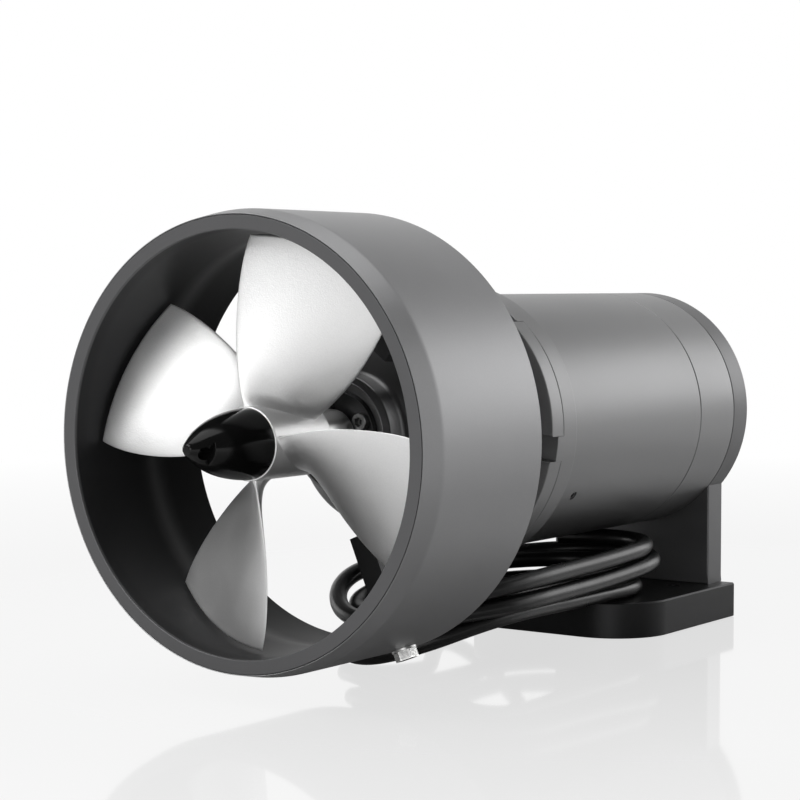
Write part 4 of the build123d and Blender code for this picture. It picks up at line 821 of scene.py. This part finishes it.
# One arm is also bolted through the duct from outside, with a stainless hexagon bolt and its washer.
BOLT_TURN = math.radians(FIRST_NOTCH)
BOLT_SETBACK = 0.0615
BOLT_FLAT = 0.0040
WASHER_RADIUS = 0.005
WASHER_BORE = 0.0026
WASHER_TOP = 0.001
BOLT_TOP = 0.0045
bolt_out = np.array([math.cos(BOLT_TURN), 0, math.sin(BOLT_TURN)])
bolt_side = np.array([0.0, 1.0, 0.0])
bolt_cross = np.cross(bolt_out, bolt_side)
bolt_seat = about_axis(DUCT_RADIUS, BOLT_TURN, BOLT_SETBACK)


def on_bolt(radius, level, angle):
    """Rings about the bolt's axis at levels over the duct's skin."""
    return (
        bolt_seat + level[:, None, None] * bolt_out
        + radius[..., None] * (np.cos(angle)[:, None] * bolt_side + np.sin(angle)[:, None] * bolt_cross)
    )


bolt_angle = np.linspace(0, 2 * math.pi, 96, endpoint=False)
ones = np.ones_like(bolt_angle)
across_flats = BOLT_FLAT / np.cos((bolt_angle % (math.pi / 3)) - math.pi / 6)
washer = surface("bolt_washer", on_bolt(
    np.array([
        WASHER_BORE * ones, 0.0049 * ones, WASHER_RADIUS * ones, WASHER_RADIUS * ones, 0.0049 * ones,
        WASHER_BORE * ones,
    ]),
    np.array([0, 0, 0.0001, 0.0009, WASHER_TOP, WASHER_TOP]), bolt_angle,
), steel, "thruster", "stainless", wrap_rows=False)
surface("bolt_head", on_bolt(
    np.array([
        0.0001 * ones, across_flats, across_flats, np.minimum(across_flats, 0.0044), BOLT_FLAT * ones,
        0.0001 * ones,
    ]),
    np.array([WASHER_TOP, WASHER_TOP, 0.0040, 0.0043, BOLT_TOP, BOLT_TOP]), bolt_angle,
), steel, "thruster", "stainless", wrap_rows=False, crease=25)
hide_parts("duct_bolt_washer")

# What is inside the closed housing and behind other pieces keeps its CAD solid and gets its finish.
rubber = Finish("seal_rubber", Roughness=0.7)
rubber.set(Base_Color=rubber.mix(rubber.noise(300), (0.012, 0.012, 0.012, 1), (0.03, 0.03, 0.03, 1)))
bearing = Finish("bearing_steel", Metallic=1.0)
bearing.set(
    Base_Color=bearing.mix(bearing.noise(500), (0.55, 0.55, 0.56, 1), (0.7, 0.7, 0.7, 1)),
    Roughness=bearing.noise(800) * 0.1 + 0.12,
)
laminations = Finish("core_steel", Metallic=0.7, Roughness=0.5)
laminations.set(
    Base_Color=laminations.mix(laminations.noise(900), (0.16, 0.16, 0.17, 1), (0.3, 0.3, 0.31, 1)),
)
magnet = Finish("magnet", Metallic=0.9, Roughness=0.3)
magnet.set(Base_Color=magnet.mix(magnet.noise(200), (0.4, 0.4, 0.41, 1), (0.6, 0.6, 0.6, 1)))
copper = Finish("copper", Metallic=0.9, Roughness=0.35)
copper.set(Base_Color=copper.mix(copper.noise(1200), (0.42, 0.16, 0.07, 1), (0.7, 0.34, 0.16, 1)))
nylon = Finish("nylon", Roughness=0.5)
nylon.set(Base_Color=nylon.mix(nylon.noise(250), (0.014, 0.014, 0.014, 1), (0.035, 0.035, 0.035, 1)))
nylon.grain(nylon.noise(1400), 0.1, 0.0002)
finish_of_slot = {
    "anodised_duct": duct_finish, "anodised_black": black_finish, "anodised_grey": grey_finish,
    "blasted_alloy": casting, "gloss_black": gloss, "stainless": steel, "black_steel": black_steel,
    "bearing_steel": bearing, "seal_rubber": rubber, "core_steel": laminations, "magnet": magnet,
    "copper": copper, "nylon": nylon, "cable_jacket": jacket,
}
for row in frame["record"]["subparts"]:
    dress(row["node"], finish_of_slot[row["material_slot"]])

# The studio: a white sheet with a light polish, a curved white backdrop behind it, and soft lights
# overhead, at the front left, beside the camera, at the left and at the right rear. In front of the
# sheet the room is dark.
FLOOR_FRONT = -1.6
FLOOR_REACH = 6
FLOOR_DROP = 0.0002
floor_mesh = bpy.data.meshes.new("studio_floor")
floor_mesh.from_pydata([
    (-FLOOR_REACH, FLOOR_FRONT, 0), (FLOOR_REACH, FLOOR_FRONT, 0), (FLOOR_REACH, FLOOR_REACH, 0),
    (-FLOOR_REACH, FLOOR_REACH, 0),
], [], [(0, 1, 2, 3)])
floor = bpy.data.objects.new("studio_floor", floor_mesh)
floor.location.z = -FLOOR_DROP
scene.collection.objects.link(floor)
sheet = Finish(
    "white_sheet", Base_Color=(0.35, 0.35, 0.35, 1), Roughness=0.9, Specular_IOR_Level=0.0,
)
seen = sheet.node("ShaderNodeLightPath", {}, output="Is Camera Ray")
seen_in_gloss = sheet.node("ShaderNodeLightPath", {}, output="Is Glossy Ray")
away = sheet.node("ShaderNodeVectorMath", {"operation": "LENGTH"}, sheet.place, output="Value")
white = sheet.node("ShaderNodeEmission", {}, (1, 1, 1, 1), 1.0)
mirror = sheet.node("ShaderNodeBsdfAnisotropic", {}, Color=(1, 1, 1, 1), Roughness=0.06)
# Near the thruster the sheet is lit by the lamps and takes its shadow. Further off it goes over to
# plain white, and its polish fades out.
lit = sheet.node(
    "ShaderNodeMixShader", {},
    seen * sheet.span(away, 0.35, 1.0, 0.86, 1.0)
    + seen_in_gloss * sheet.span(away, 0.25, 0.5, 0.05, 0.95),
    Value(sheet, sheet.shader.outputs[0]), white,
)
polished = sheet.node(
    "ShaderNodeMixShader", {},
    sheet.span(away, 0.12, 0.35, 0.2, 0.11) * sheet.span(away, 0.35, 1.0, 1.0, 0.0), lit, mirror,
)
sheet.links.new(polished.socket, sheet.nodes["Material Output"].inputs["Surface"])
floor_mesh.materials.append(sheet.material)

BACKDROP_RADIUS = 2.4
BACKDROP_HEIGHT = 1.8
BACKDROP_POSTS = 31
bearings = np.radians(np.linspace(-75, 75, BACKDROP_POSTS))
backdrop_line = BACKDROP_RADIUS * np.stack([np.sin(bearings), np.cos(bearings)], -1)
backdrop_mesh = bpy.data.meshes.new("studio_backdrop")
backdrop_mesh.from_pydata(
    [(x, y, z) for z in (0, BACKDROP_HEIGHT) for x, y in backdrop_line.tolist()], [],
    [(n, n + 1, n + BACKDROP_POSTS + 1, n + BACKDROP_POSTS) for n in range(BACKDROP_POSTS - 1)],
)
backdrop = bpy.data.objects.new("studio_backdrop", backdrop_mesh)
scene.collection.objects.link(backdrop)
paper = Finish(
    "white_paper", Base_Color=(0.8, 0.8, 0.8, 1), Roughness=1.0, Specular_IOR_Level=0.0,
)
paper_seen = (
    paper.node("ShaderNodeLightPath", {}, output="Is Camera Ray")
    + paper.node("ShaderNodeLightPath", {}, output="Is Glossy Ray")
)
paper_white = paper.node("ShaderNodeEmission", {}, (1, 1, 1, 1), 1.0)
paper_lit = paper.node(
    "ShaderNodeMixShader", {}, paper_seen, Value(paper, paper.shader.outputs[0]), paper_white,
)
paper.links.new(paper_lit.socket, paper.nodes["Material Output"].inputs["Surface"])
backdrop_mesh.materials.append(paper.material)

# The world is white to the camera and only dim to the object.
WORLD_ON_OBJECT = 0.12
WORLD_SEEN = 1.0
world = bpy.data.worlds.new("studio")
scene.world = world
world.use_nodes = True
sky = world.node_tree
background = sky.nodes["Background"]
light_path = sky.nodes.new("ShaderNodeLightPath")
level = sky.nodes.new("ShaderNodeMapRange")
level.inputs["To Min"].default_value = WORLD_ON_OBJECT
level.inputs["To Max"].default_value = WORLD_SEEN
sky.links.new(light_path.outputs["Is Camera Ray"], level.inputs["Value"])
sky.links.new(level.outputs["Result"], background.inputs["Strength"])
background.inputs["Color"].default_value = (1, 1, 1, 1)


def soft_light(name, place, aim, width, height, power):
    """A rectangular studio light that faces a point."""
    data = bpy.data.lights.new(name, "AREA")
    data.shape = "RECTANGLE"
    data.size = width
    data.size_y = height
    data.energy = power
    lamp = bpy.data.objects.new(name, data)
    lamp.location = place
    lamp.rotation_euler = (Vector(aim) - Vector(place)).to_track_quat("-Z", "Y").to_euler()
    scene.collection.objects.link(lamp)


# Each light: name, place, aim, width and height in metres, and power in watts.
soft_light("overhead", (0, 0.1, 1.6), (0, -0.1, 0.1), 1.5, 1.5, 12)
soft_light("front_left", (-0.35, -1.25, 1.05), (0, -0.2, 0.1), 1.3, 1.0, 15)
soft_light("beside_camera", (0.55, -1.55, 0.3), (0, -0.2, 0.1), 1.0, 0.6, 4.5)
soft_light("left", (-1.6, -0.3, 0.35), (0, -0.2, 0.1), 1.0, 0.7, 4)
soft_light("right_rear", (0.72, 1.38, 0.55), (0, -0.1, 0.1), 0.9, 0.7, 3.5)

bpy.context.view_layer.update()
